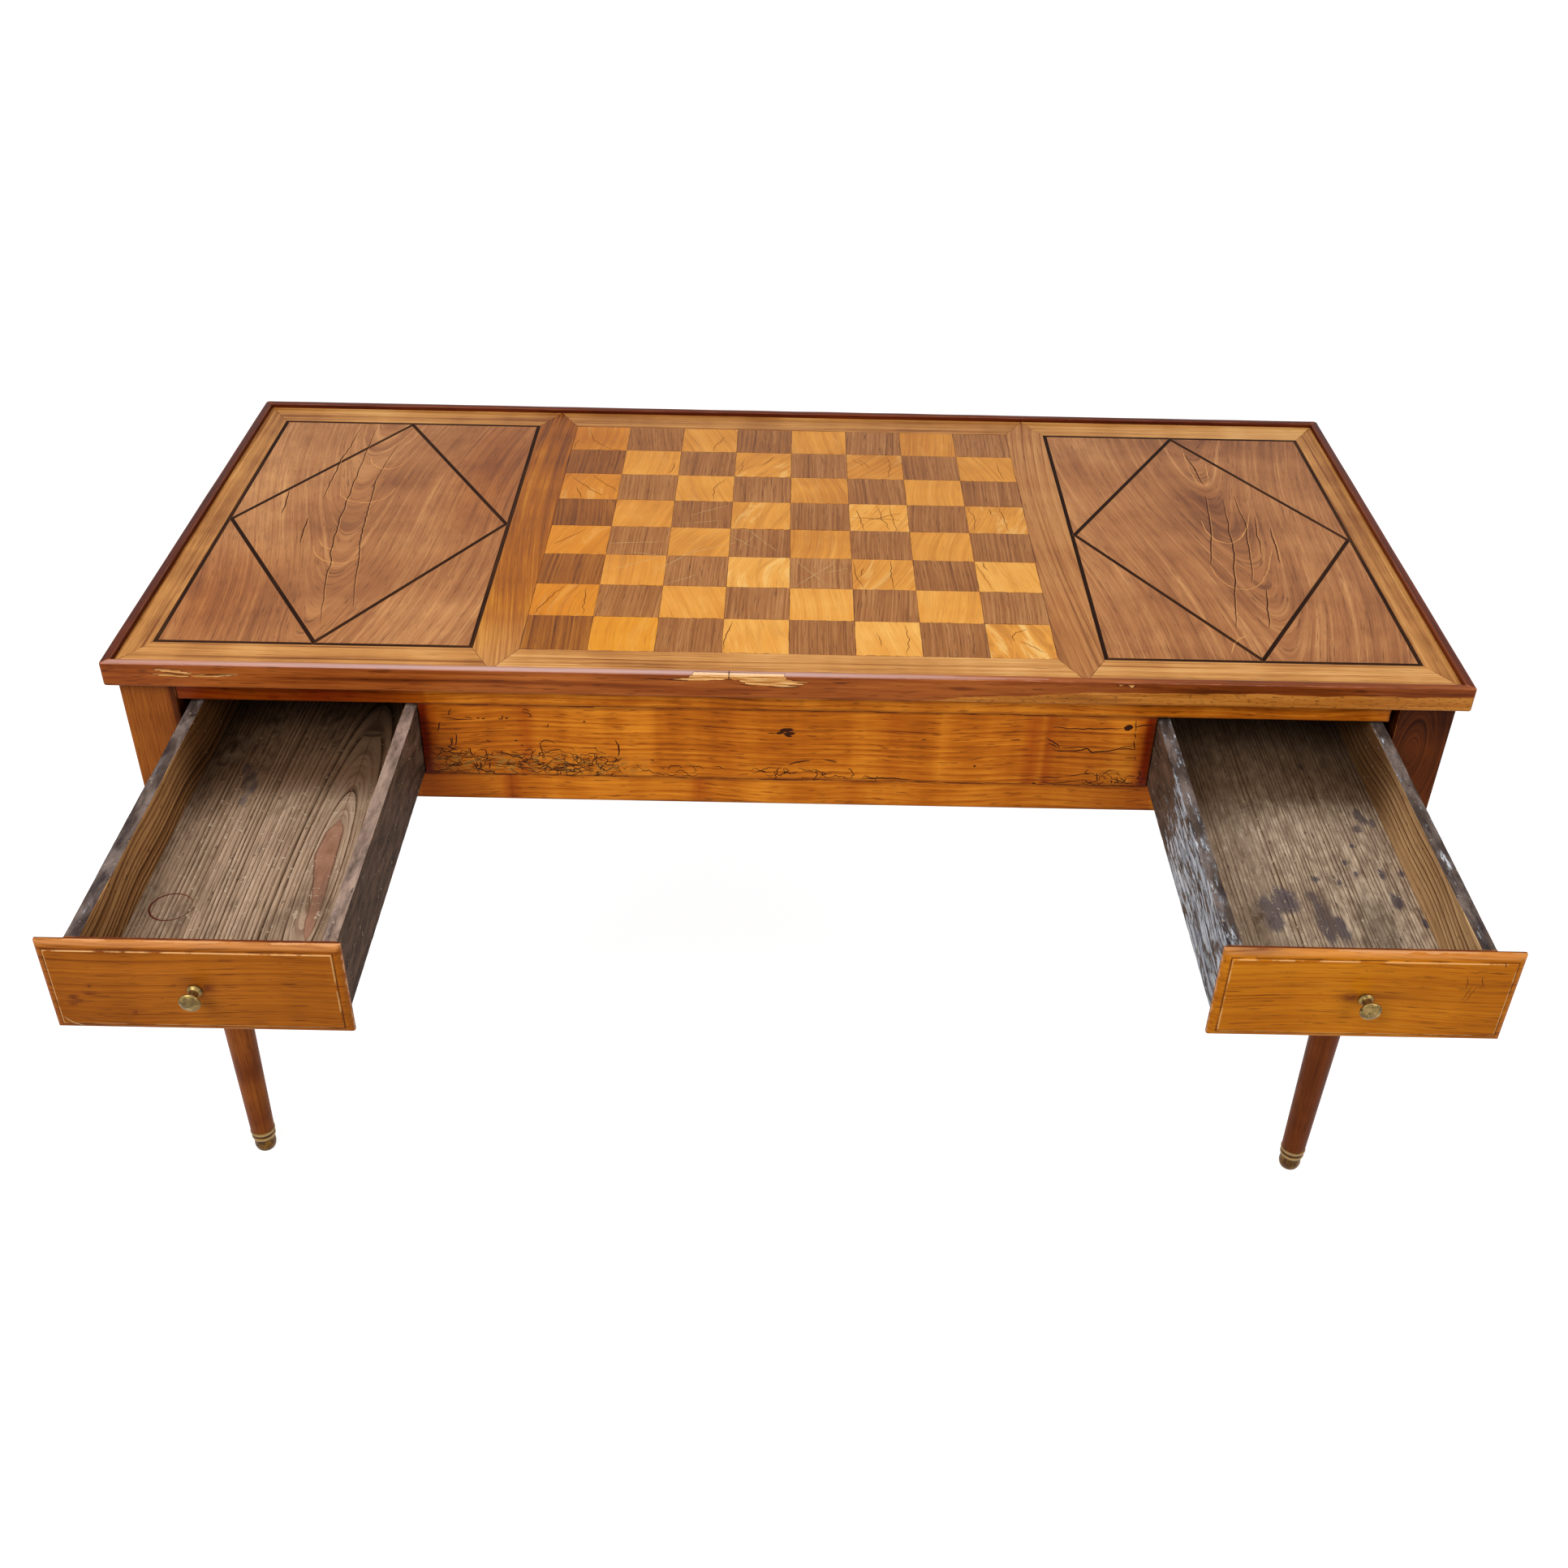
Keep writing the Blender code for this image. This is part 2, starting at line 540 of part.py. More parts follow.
def legs(table):
    """Square post and turned shaft in one piece, with the mortises and a brass foot."""
    for side_y, depth_name in ((-1, "front"), (1, "back")):
        for side_x, end_name in ((-1, "left"), (1, "right")):
            name = f"leg_{depth_name}_{end_name}"
            ends_x = sorted((side_x * POST_X, side_x * CASE_X))
            ends_y = sorted((side_y * POST_Y, side_y * CASE_Y))
            low = (ends_x[0], ends_y[0], APRON_BOTTOM)
            high = (ends_x[1], ends_y[1], CASE_TOP)
            leg = add_piece(name, box_mesh(name, low, high), "leg_mahogany", table)
            bevel(leg, POST_ROUND)
            axis = (side_x * (CASE_X - POST_SIDE / 2), side_y * (CASE_Y - POST_SIDE / 2), 0)
            shaft = add_cutter(f"{name}_shaft", turned_mesh(name, leg_profile()), table, axis)
            turn(shaft, LEG_STEPS)
            boolean(leg, shaft, "UNION")
            side_mortise(leg, name, side_x, side_y, table)
            if side_y > 0:
                rise = CASE_TOP - APRON_BOTTOM - 2 * TENON_SHOULDER
                long_mortise(leg, name, side_x, side_y, APRON_BOTTOM + TENON_SHOULDER, rise, table)
            else:
                rise = LOWER_RAIL_HEIGHT - 2 * RAIL_SHOULDER
                long_mortise(leg, name, side_x, side_y, APRON_BOTTOM + RAIL_SHOULDER, rise, table)
            foot_name = f"sabot_{depth_name}_{end_name}"
            foot = add_piece(foot_name, turned_mesh(foot_name, sabot_profile()), "aged_brass", table, axis)
            turn(foot, LEG_STEPS)


# Aprons and front members
def side_apron(side_x, end_name, table):
    """A side apron with a tenon at each end."""
    name = f"apron_{end_name}"
    reach = POST_Y - JOINT_GAP
    ends = sorted((side_x * APRON_IN_X, side_x * APRON_OUT_X))
    mesh = box_mesh(name, (ends[0], -reach, APRON_BOTTOM), (ends[1], reach, CASE_TOP))
    apron = add_piece(name, mesh, "case_cherry", table)
    bevel(apron, EDGE_EASE)
    middle = side_x * (APRON_OUT_X - APRON_THICKNESS / 2)
    half = TENON_THICKNESS / 2
    reach = POST_Y + TENON_LENGTH
    low = (middle - half, -reach, APRON_BOTTOM + TENON_SHOULDER)
    high = (middle + half, reach, CASE_TOP - TENON_SHOULDER)
    boolean(apron, add_cutter(f"{name}_tenons", box_mesh(name, low, high), table), "UNION")


def long_member(name, side_y, bottom, top_height, tenon_shoulder, table):
    """A member from post to post with a tenon at each end."""
    reach = POST_X - JOINT_GAP
    ends = sorted((side_y * APRON_IN_Y, side_y * APRON_OUT_Y))
    mesh = box_mesh(name, (-reach, ends[0], bottom), (reach, ends[1], top_height))
    member = add_piece(name, mesh, "case_cherry", table)
    bevel(member, EDGE_EASE)
    middle = side_y * (APRON_OUT_Y - APRON_THICKNESS / 2)
    half = TENON_THICKNESS / 2
    reach = POST_X + TENON_LENGTH
    low = (-reach, middle - half, bottom + tenon_shoulder)
    high = (reach, middle + half, top_height - tenon_shoulder)
    boolean(member, add_cutter(f"{name}_tenons", box_mesh(name, low, high), table), "UNION")


def case_walls(table):
    """Three aprons, then the front's top rail, fixed panel and lower rail."""
    for side_x, end_name in ((-1, "left"), (1, "right")):
        side_apron(side_x, end_name, table)
    long_member("apron_back", 1, APRON_BOTTOM, CASE_TOP, TENON_SHOULDER, table)
    long_member("front_lower_rail", -1, APRON_BOTTOM, OPENING_BOTTOM, RAIL_SHOULDER, table)
    low = (-POST_X + JOINT_GAP, -APRON_OUT_Y, OPENING_TOP)
    high = (POST_X - RAIL_SHORTFALL, -APRON_IN_Y, CASE_TOP)
    rail = add_piece("front_top_rail", box_mesh("front_top_rail", low, high), "case_cherry", table)
    bevel(rail, EDGE_EASE)
    reach = OPENING_INNER
    low = (-reach, -APRON_OUT_Y, OPENING_BOTTOM + JOINT_GAP)
    high = (reach, -APRON_IN_Y, OPENING_TOP - JOINT_GAP)
    panel = add_piece("front_panel", box_mesh("front_panel", low, high), "case_cherry", table)
    bevel(panel, EDGE_EASE)


# Well, drawer bearings and end trays
def well(table):
    """Two grooved partitions, a floor let into them and the bar across its middle."""
    reach = APRON_IN_Y - JOINT_GAP
    inner = OPENING_INNER - PARTITION_THICKNESS
    groove_x = inner + WELL_GROOVE
    floor_bottom = WELL_FLOOR_TOP - WELL_FLOOR_THICKNESS
    for side_x, end_name in ((-1, "left"), (1, "right")):
        name = f"partition_{end_name}"
        ends = sorted((side_x * inner, side_x * OPENING_INNER))
        low = (ends[0], -reach, APRON_BOTTOM + PARTITION_RISE)
        partition = add_piece(name, box_mesh(name, low, (ends[1], reach, CASE_TOP)), "case_cherry", table)
        ends = sorted((side_x * (inner - CUTTER_OVERRUN), side_x * (groove_x + JOINT_GAP)))
        low = (ends[0], -reach - CUTTER_OVERRUN, floor_bottom - JOINT_GAP)
        high = (ends[1], reach + CUTTER_OVERRUN, WELL_FLOOR_TOP + JOINT_GAP)
        boolean(partition, add_cutter(f"{name}_groove", box_mesh(name, low, high), table), "DIFFERENCE")
    mesh = box_mesh("well_floor", (-groove_x, -reach, floor_bottom), (groove_x, reach, WELL_FLOOR_TOP))
    add_piece("well_floor", mesh, "dark_square", table)
    half = BAR_THICKNESS / 2
    low = (-half, -reach, WELL_FLOOR_TOP + JOINT_GAP)
    mesh = box_mesh("well_bar", low, (half, reach, CASE_TOP - BAR_DROP))
    bar = add_piece("well_bar", mesh, "rim_mahogany", table)
    bevel(bar, POST_ROUND)


def bearings(side_x, end_name, table):
    """Runners, outer guide and the tray that closes the drawer's space from above."""
    reach = APRON_IN_Y - JOINT_GAP
    short_reach = POST_Y - JOINT_GAP
    runner_bottom = OPENING_BOTTOM - RUNNER_HEIGHT
    inner_low = OPENING_INNER + JOINT_GAP
    name = f"runner_{end_name}_inner"
    ends = sorted((side_x * inner_low, side_x * (inner_low + RUNNER_WIDTH)))
    mesh = box_mesh(name, (ends[0], -reach, runner_bottom), (ends[1], reach, OPENING_BOTTOM))
    add_piece(name, mesh, "pine", table)
    name = f"runner_{end_name}_outer"
    outer_low = OPENING_INNER + DRAWER_PLAY + BOX_WIDTH - SIDE_THICKNESS
    ends = sorted((side_x * outer_low, side_x * (POST_X - JOINT_GAP)))
    mesh = box_mesh(name, (ends[0], -reach, runner_bottom), (ends[1], reach, OPENING_BOTTOM))
    runner = add_piece(name, mesh, "pine", table)
    guide_low = OPENING_INNER + DRAWER_PLAY + BOX_WIDTH + GUIDE_PLAY
    ends = sorted((side_x * guide_low, side_x * (APRON_IN_X - JOINT_GAP)))
    low = (ends[0], -short_reach, runner_bottom)
    guide = add_cutter(f"{name}_guide", box_mesh(name, low, (ends[1], short_reach, OPENING_TOP)), table)
    boolean(runner, guide, "UNION")
    name = f"end_tray_{end_name}"
    wide, narrow = APRON_IN_X - JOINT_GAP, POST_X - JOINT_GAP
    outline = [(inner_low, -reach), (narrow, -reach), (narrow, -short_reach), (wide, -short_reach),
               (wide, short_reach), (narrow, short_reach), (narrow, reach), (inner_low, reach)]
    bottom = OPENING_TOP + JOINT_GAP
    mesh = flat_mesh(name, [mirrored(outline, side_x, 1)], bottom, bottom + TRAY_THICKNESS)
    add_piece(name, mesh, "case_cherry", table)


# Drawers
def knob_profile():
    """Brass knob from its crown back to the shank, out along its own +Z."""
    disc_back = KNOB_PROJECTION - KNOB_CROWN - KNOB_DISC
    profile = [(0, KNOB_PROJECTION), (KNOB_RADIUS / 2, KNOB_PROJECTION - KNOB_CROWN / 4)]
    profile.append((KNOB_RADIUS - KNOB_CROWN, KNOB_PROJECTION - KNOB_CROWN))
    profile.append((KNOB_RADIUS, disc_back + KNOB_DISC / 2))
    profile.append((KNOB_RADIUS - KNOB_CROWN, disc_back))
    for i in range(1, ARC_POINTS):
        share = i / (ARC_POINTS - 1)
        flare = (KNOB_RADIUS - KNOB_CROWN - KNOB_STEM_RADIUS) * (1 - share) ** 3
        profile.append((KNOB_STEM_RADIUS + flare, disc_back - KNOB_FLARE * share))
    profile += [(KNOB_STEM_RADIUS, KNOB_COLLAR_HEIGHT * 2), (KNOB_COLLAR_RADIUS, KNOB_COLLAR_HEIGHT)]
    profile += [(KNOB_COLLAR_RADIUS, JOINT_GAP), (KNOB_SHANK_RADIUS, JOINT_GAP)]
    profile += [(KNOB_SHANK_RADIUS, -KNOB_SHANK_LENGTH), (0, -KNOB_SHANK_LENGTH)]
    return profile


def drawer_front(end_name, box_x, drawer):
    """Lipped front: the block in the opening, a rounded lip and a raised flat field."""
    name = f"drawer_{end_name}_front"
    half = BOX_WIDTH / 2
    low = (box_x - half, -UNION_OVERLAP, JOINT_GAP)
    high = (box_x + half, FRONT_BLOCK, JOINT_GAP + BOX_HEIGHT)
    front = add_piece(name, box_mesh(name, low, high), "drawer_front", drawer)
    half_x = (POST_X - OPENING_INNER) / 2 + FRONT_OVERLAP_X
    bottom, top_height = -FRONT_OVERLAP_Z, OPENING_HEIGHT + FRONT_OVERLAP_Z
    low, high = (-half_x, -LIP_THICKNESS, bottom), (half_x, 0, top_height)
    lip = add_cutter(f"{name}_lip", box_mesh(name, low, high), drawer)
    rounding = lip.modifiers.new("thumbnail", "BEVEL")
    rounding.width = LIP_ROUND
    rounding.segments = ROUND_SEGMENTS
    rounding.limit_method = "WEIGHT"
    weights = lip.data.attributes.new("bevel_weight_edge", "FLOAT", "EDGE")
    for edge, weight in zip(lip.data.edges, weights.data):
        ends = [lip.data.vertices[index].co.y for index in edge.vertices]
        weight.value = 1.0 if max(ends) < 0 else 0.0
    boolean(front, lip, "UNION")
    low = (-half_x + FIELD_MARGIN, -LIP_THICKNESS - FIELD_STEP, bottom + FIELD_MARGIN)
    high = (half_x - FIELD_MARGIN, -UNION_OVERLAP, top_height - FIELD_MARGIN)
    field = add_cutter(f"{name}_field", box_mesh(name, low, high), drawer)
    boolean(front, field, "UNION")
    hole_radius = KNOB_SHANK_RADIUS + KNOB_HOLE_CLEARANCE
    back = FRONT_BLOCK + CUTTER_OVERRUN
    face = -LIP_THICKNESS - FIELD_STEP
    mouth = face - CUTTER_OVERRUN
    profile = [(0, back), (hole_radius, back), (hole_radius, mouth), (0, mouth)]
    hole = add_cutter(f"{name}_hole", turned_mesh(name, profile), drawer, (0, 0, OPENING_HEIGHT / 2))
    hole.rotation_euler = (-math.pi / 2, 0, 0)
    turn(hole, KNOB_STEPS)
    boolean(front, hole, "DIFFERENCE")
    knob_name = f"knob_{end_name}"
    knob = add_piece(knob_name, turned_mesh(knob_name, knob_profile()), "aged_brass", drawer)
    knob.location = (0, face, OPENING_HEIGHT / 2)
    knob.rotation_euler = (math.pi / 2, 0, 0)
    turn(knob, KNOB_STEPS)


def drawer_box(end_name, box_x, drawer):
    """Grooved sides, a back between them and a bottom that runs under the back."""
    half = BOX_WIDTH / 2
    low_z, high_z = JOINT_GAP, JOINT_GAP + BOX_HEIGHT
    bottom_low = low_z + BOTTOM_RISE
    bottom_high = bottom_low + BOTTOM_THICKNESS
    start = FRONT_BLOCK + JOINT_GAP
    inner = half - SIDE_THICKNESS
    for side, side_name in ((-1, "left"), (1, "right")):
        name = f"drawer_{end_name}_{side_name}_side"
        ends = sorted((box_x + side * inner, box_x + side * half))
        mesh = box_mesh(name, (ends[0], start, low_z), (ends[1], BOX_LENGTH, high_z))
        board = add_piece(name, mesh, "pine", drawer)
        bevel(board, EDGE_EASE)
        ends = sorted((box_x + side * (inner - CUTTER_OVERRUN), box_x + side * (inner + BOTTOM_GROOVE)))
        low = (ends[0], start - CUTTER_OVERRUN, bottom_low - JOINT_GAP)
        high = (ends[1], BOX_LENGTH + CUTTER_OVERRUN, bottom_high + JOINT_GAP)
        groove = add_cutter(f"{name}_groove", box_mesh(name, low, high), drawer)
        boolean(board, groove, "DIFFERENCE")
    name = f"drawer_{end_name}_back"
    reach = inner - JOINT_GAP
    low = (box_x - reach, BOX_LENGTH - SIDE_THICKNESS, bottom_high + JOINT_GAP)
    mesh = box_mesh(name, low, (box_x + reach, BOX_LENGTH, high_z - BOX_BACK_DROP))
    back = add_piece(name, mesh, "pine", drawer)
    bevel(back, EDGE_EASE)
    name = f"drawer_{end_name}_bottom"
    reach = inner + BOTTOM_GROOVE - JOINT_GAP
    mesh = box_mesh(name, (box_x - reach, start, bottom_low), (box_x + reach, BOX_LENGTH, bottom_high))
    add_piece(name, mesh, "pine", drawer)


def drawers(table):
    """Both drawers, each on an empty at its opening's sill, pulled out as photographed."""
    for side_x, end_name, pulled in ((-1, "left", LEFT_PULLED), (1, "right", RIGHT_PULLED)):
        place = (side_x * OPENING_CENTRE, -CASE_Y - JOINT_GAP - pulled, OPENING_BOTTOM)
        drawer = frame_empty(f"drawer_{end_name}_frame", place, table)
        box_x = side_x * (BOX_CENTRE - OPENING_CENTRE)
        drawer_front(end_name, box_x, drawer)
        drawer_box(end_name, box_x, drawer)


def build_table():
    """The whole table, its origin on the floor under the middle of its reach."""
    start_scene()
    table = frame_empty("table_frame", (0, TABLE_Y, 0))
    legs(table)
    case_walls(table)
    well(table)
    for side_x, end_name in ((-1, "left"), (1, "right")):
        bearings(side_x, end_name, table)
    drawers(table)
    top(table)


build_table()
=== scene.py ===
import math

import bpy
import numpy as np
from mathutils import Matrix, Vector


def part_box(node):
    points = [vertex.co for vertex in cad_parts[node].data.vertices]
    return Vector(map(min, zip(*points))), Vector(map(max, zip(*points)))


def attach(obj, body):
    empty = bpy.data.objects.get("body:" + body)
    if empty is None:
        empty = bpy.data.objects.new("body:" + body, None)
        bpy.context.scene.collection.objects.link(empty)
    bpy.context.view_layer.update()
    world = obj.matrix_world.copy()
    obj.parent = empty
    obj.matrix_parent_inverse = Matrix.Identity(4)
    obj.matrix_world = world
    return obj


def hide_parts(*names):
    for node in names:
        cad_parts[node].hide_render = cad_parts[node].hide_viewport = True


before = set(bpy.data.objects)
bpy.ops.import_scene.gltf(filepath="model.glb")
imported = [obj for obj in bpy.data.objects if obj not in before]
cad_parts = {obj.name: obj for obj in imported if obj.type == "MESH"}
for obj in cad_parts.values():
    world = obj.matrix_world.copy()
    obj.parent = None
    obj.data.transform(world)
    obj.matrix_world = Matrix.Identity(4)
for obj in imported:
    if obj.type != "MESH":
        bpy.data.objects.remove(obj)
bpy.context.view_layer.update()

MM = 0.001

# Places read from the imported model
TOP_LOW, TOP_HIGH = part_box("top_core")
MIDDLE_Y = (TOP_LOW.y + TOP_HIGH.y) / 2
RIM_LOW, RIM_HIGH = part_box("rim_front")
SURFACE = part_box("chessboard")[1].z

# Measures of the top, as its CAD has them
VENEER = 2.5 * MM
SHEET_BOTTOM = SURFACE - VENEER
JOINT = 0.3 * MM
SQUARE = 66.0 * MM
BOARD_HALF = 4 * SQUARE
DIVIDER = 46.0 * MM
FIELD_START = BOARD_HALF + DIVIDER
FIELD_END = FIELD_START + 312.4 * MM
INNER_X = FIELD_END + 27.6 * MM
INNER_Y = BOARD_HALF + 40.0 * MM
RIM = 9.0 * MM
STRING = 3.6 * MM
HAIR = 0.65 * MM

# Seed, spacing and smoothing of the meshes, and directions
SEED = 1789
PLAIN = 12.0 * MM
ROUND_STEPS = 72
SHARP = math.radians(50)
UP, TO_FRONT = (0, 0, 1), (0, -1, 0)
# How far apart the grain of two pieces starts, and the edge distance of what has no edge to wear
GRAIN_SHIFT = np.array([0.31, 0.17, 0.23])
NO_EDGE = 20 * MM


# Colours
def seen(red, green, blue):
    """A colour given as it looks on a screen, 0 to 255, turned into the linear light a shader takes."""
    values = np.array([red, green, blue]) / 255
    linear = np.where(values < 0.04045, values / 12.92, ((values + 0.055) / 1.055) ** 2.4)
    return (*[float(v) for v in linear], 1.0)


# Arrays and waves
def mm(*values):
    """Millimetres as an array of metres."""
    return np.array(values) * MM


def columns(*values):
    """Arrays side by side as the columns of one; a single number fills its whole column."""
    return np.stack(np.broadcast_arrays(*values), -1).astype(float)


def waves(points, pitch, seed, count=6):
    """A sum of sine waves in random directions about one pitch long, scaled to run from -1 to 1."""
    draw = np.random.default_rng(seed)
    heading = draw.normal(size=(points.shape[1], count))
    heading /= np.linalg.norm(heading, axis=0)
    turns = points @ (heading / (pitch * draw.uniform(0.6, 1.5, count)))
    return np.sin(2 * np.pi * (turns + draw.random(count))).mean(axis=1) * 1.6


def smooth(values, low, high):
    """Nothing below low, one above high, and a smooth S between them."""
    share = np.clip((values - low) / (high - low), 0, 1)
    return share * share * (3 - 2 * share)


def hill(x, y, middle_x, middle_y, half_x, half_y):
    """How far down an oval hill a point lies: nothing at its middle, one at its half widths."""
    return ((x - middle_x * MM) / (half_x * MM)) ** 2 + ((y - middle_y * MM) / (half_y * MM)) ** 2


# Surfaces
def steps(length, gap, near):
    """Places across a board: those in near from each end, and even steps of about one gap between."""
    near = np.array([v for v in near if v < 0.4 * length])
    count = max(2, int(math.ceil((length - 2 * near[-1]) / gap)) + 1)
    inner = np.linspace(near[-1], length - near[-1], count)
    return np.concatenate([near[:-1], inner, (length - near[:-1])[::-1]])


def eased(radius):
    """Places near a board's edge: through its rounding, then widening out over the flat."""
    return [0.0, 0.4 * radius, radius, radius + 1.2 * MM, radius + 3.5 * MM]


def quads(index):
    """The quads of a grid of point numbers."""
    corners = (index[:-1, :-1], index[1:, :-1], index[1:, 1:], index[:-1, 1:])
    return np.stack(corners, -1).reshape(-1, 4)


def tube(index):
    """The quads of a stack of rings of point numbers, each ring closed on its first point."""
    return quads(np.concatenate([index, index[:, :1]], 1))[:, ::-1]


def box_skin(counts):
    """The six sides of a lattice of points, facing outwards, and the lattice places they use."""
    index = np.arange(np.prod(counts)).reshape(counts)
    sides = [
        quads(index[:, :, -1]),
        quads(index[:, :, 0])[:, ::-1],
        quads(index[:, 0, :]),
        quads(index[:, -1, :])[:, ::-1],
        quads(index[-1, :, :]),
        quads(index[0, :, :])[:, ::-1],
    ]
    used, faces = np.unique(np.concatenate(sides), return_inverse=True)
    return np.stack(np.unravel_index(used, counts), -1), faces.reshape(-1, 4)


def surface(points, faces, grain, edge=None, mark=None):
    """Points and faces with what the points carry: no edge near and no marks, unless they are given."""
    edge = np.full(len(points), NO_EDGE) if edge is None else edge
    mark = np.zeros((len(points), 3)) if mark is None else mark
    return {"points": points, "faces": faces, "grain": grain, "edge": edge, "mark": mark}


def board(low, high, gap=(PLAIN, PLAIN, PLAIN), ease=0.6 * MM, near=None, lay=0, seed=0,
          shape=None, relief=None, bend=None, mark=None):
    """A solid board with rounded edges. A point of the box's skin is split into its nearest point on
    the box shrunk by the rounding radius and the way out from there; it is put one radius out along
    that way, then moved by shape, and by relief along it. Its grain is its place with the length
    first, turned by bend, and edge is how far it lies from the board's nearest edge."""
    low, high = np.array(low, float), np.array(high, float)
    size = high - low
    ease = min(ease, 0.45 * size.min())
    if near is None:
        near = (eased(ease),) * 3
    lines = [steps(size[i], gap[i], near[i]) for i in range(3)]
    picks, faces = box_skin([len(line) for line in lines])
    flat = np.stack([lines[i][picks[:, i]] for i in range(3)], -1)
    core = np.clip(flat, ease, size - ease)
    out = flat - core
    out /= np.maximum(np.linalg.norm(out, axis=1, keepdims=True), 1e-9)
    points = low + core + ease * out
    edge = np.sort(np.minimum(flat, size - flat), axis=1)[:, 1]
    if shape:
        points = shape(points)
    order = [lay] + [i for i in range(3) if i != lay]
    grain = points[:, order]
    if bend:
        grain = bend(grain, points)
    grain = grain + GRAIN_SHIFT * (seed % 97)
    marks = mark(points, out) if mark else None
    if relief:
        points = points + out * relief(points, out)[:, None]
    return surface(points, [faces], grain, edge, marks)


def turned(profile, axis, count=ROUND_STEPS, seed=0, to_front=False, mark=None):
    """Round work: each radius and height of the profile, bottom first, is carried round the axis,
    and each end closes on one point. It stands upright, or lies with its height to the front."""
    profile = np.array(profile, float)
    angles = np.arange(count) * 2 * np.pi / count
    rings = profile[:, 0, None, None] * columns(np.cos(angles), np.sin(angles))[None]
    heights = np.broadcast_to(profile[:, 1, None, None], (len(profile), count, 1))
    points = np.concatenate([rings, heights], -1).reshape(-1, 3)
    index = np.arange(len(points)).reshape(len(profile), count)
    around = np.roll(tube(index), 1, axis=1)
    base, tip = len(points), len(points) + 1
    index = np.concatenate([index, index[:, :1]], 1)
    lower = np.stack([np.full(count, base), index[0, 1:], index[0, :-1]], -1)
    upper = np.stack([np.full(count, tip), index[-1, :-1], index[-1, 1:]], -1)
    points = np.concatenate([points, [[0, 0, profile[0, 1]], [0, 0, profile[-1, 1]]]])
    if to_front:
        points = columns(points[:, 0], -points[:, 2], points[:, 1])
    points = points + np.array(axis)
    grain = points[:, [2, 0, 1]] + GRAIN_SHIFT * (seed % 97)
    return surface(points, [around, lower, upper], grain, mark=mark(points, None) if mark else None)


def curve(points, pitch, wander, seed, soften=1, bow=14 * MM):
    """A path through given points: stepped evenly between them, averaged over soften steps, then
    pushed sideways by waves about one bow long that fade out at both ends."""
    points = np.array(points, float)
    spans = np.linalg.norm(np.diff(points, axis=0), axis=1)
    along = np.concatenate([[0], np.cumsum(spans)])
    count = max(4, int(along[-1] / pitch))
    places = np.linspace(0, along[-1], count)
    path = columns(*[np.interp(places, along, points[:, i]) for i in range(2)])
    if soften > 1:
        padded = np.pad(path, ((soften // 2, soften // 2), (0, 0)), "edge")
        even = np.full(soften, 1 / soften)
        path = columns(*[np.convolve(padded[:, i], even, "valid") for i in range(2)])[:count]
    way = np.gradient(path, axis=0)
    way /= np.maximum(np.linalg.norm(way, axis=1, keepdims=True), 1e-9)
    push = waves(path, bow, seed) * 0.75 + waves(path, bow / 3, seed + 1) * 0.25
    fade = np.sin(np.linspace(0, np.pi, len(path))) ** 0.5
    return path + columns(-way[:, 1], way[:, 0]) * (push * fade * wander)[:, None]


def sliver(path, width, out, proud=0.05 * MM, deep=0.4 * MM):
    """A split in the wood: a lens carried along the path on a surface that faces out. Its width swells
    from almost nothing as the root of a half sine wave and its crest stands a hair proud."""
    count = len(path)
    out = np.array(out, float)
    side = np.cross(np.gradient(path, axis=0), out)
    side /= np.maximum(np.linalg.norm(side, axis=1, keepdims=True), 1e-9)
    swell = np.sin(np.linspace(0.02, np.pi - 0.02, count)) ** 0.5
    half = (width / 2 * swell)[:, None]
    rings = [path - side * half, path + out * proud, path + side * half, path - out * deep]
    points = np.stack(rings, 1).reshape(-1, 3)
    last = 4 * count
    caps = np.array([[0, 1, 2, 3], [last - 1, last - 2, last - 3, last - 4]])
    return surface(points, [tube(np.arange(last).reshape(count, 4)), caps], points)


def face_line(line, face, pitch, wander, seed, **more):
    """A curve drawn on a face to the front, from places across it and up from the floor."""
    flat = curve(np.array(line) * MM, pitch * MM, wander * MM, seed, **more)
    return columns(flat[:, 0], face, flat[:, 1])


def put(name, body, material, parts, replaces=()):
    """Makes one piece from its parts and hangs it on its body."""
    starts = np.concatenate([[0], np.cumsum([len(part["points"]) for part in parts])[:-1]])
    points = np.concatenate([part["points"] for part in parts])
    faces = [face + start for part, start in zip(parts, starts) for face in part["faces"]]
    corners = np.concatenate([face.ravel() for face in faces])
    counts = np.concatenate([np.full(len(face), face.shape[1]) for face in faces])
    firsts = np.concatenate([[0], np.cumsum(counts)[:-1]])
    mesh = bpy.data.meshes.new(name)
    mesh.vertices.add(len(points))
    mesh.vertices.foreach_set("co", points.astype(np.float32).ravel())
    mesh.loops.add(len(corners))
    mesh.loops.foreach_set("vertex_index", corners.astype(np.int32))
    mesh.polygons.add(len(counts))
    mesh.polygons.foreach_set("loop_start", firsts.astype(np.int32))
    mesh.update(calc_edges=True)
    mesh.validate()
    kinds = (
        ("grain", "FLOAT_VECTOR", "vector"),
        ("mark", "FLOAT_VECTOR", "vector"),
        ("edge", "FLOAT", "value"),
    )
    for key, kind, field in kinds:
        values = np.concatenate([part[key] for part in parts])
        attribute = mesh.attributes.new(key, kind, "POINT")
        attribute.data.foreach_set(field, values.astype(np.float32).ravel())
    mesh.polygons.foreach_set("use_smooth", np.ones(len(counts), bool))
    mesh.set_sharp_from_angle(angle=SHARP)
    mesh.materials.append(material)
    piece = bpy.data.objects.new(name, mesh)
    bpy.context.scene.collection.objects.link(piece)
    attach(piece, body)
    if replaces:
        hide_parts(*replaces)
    return piece


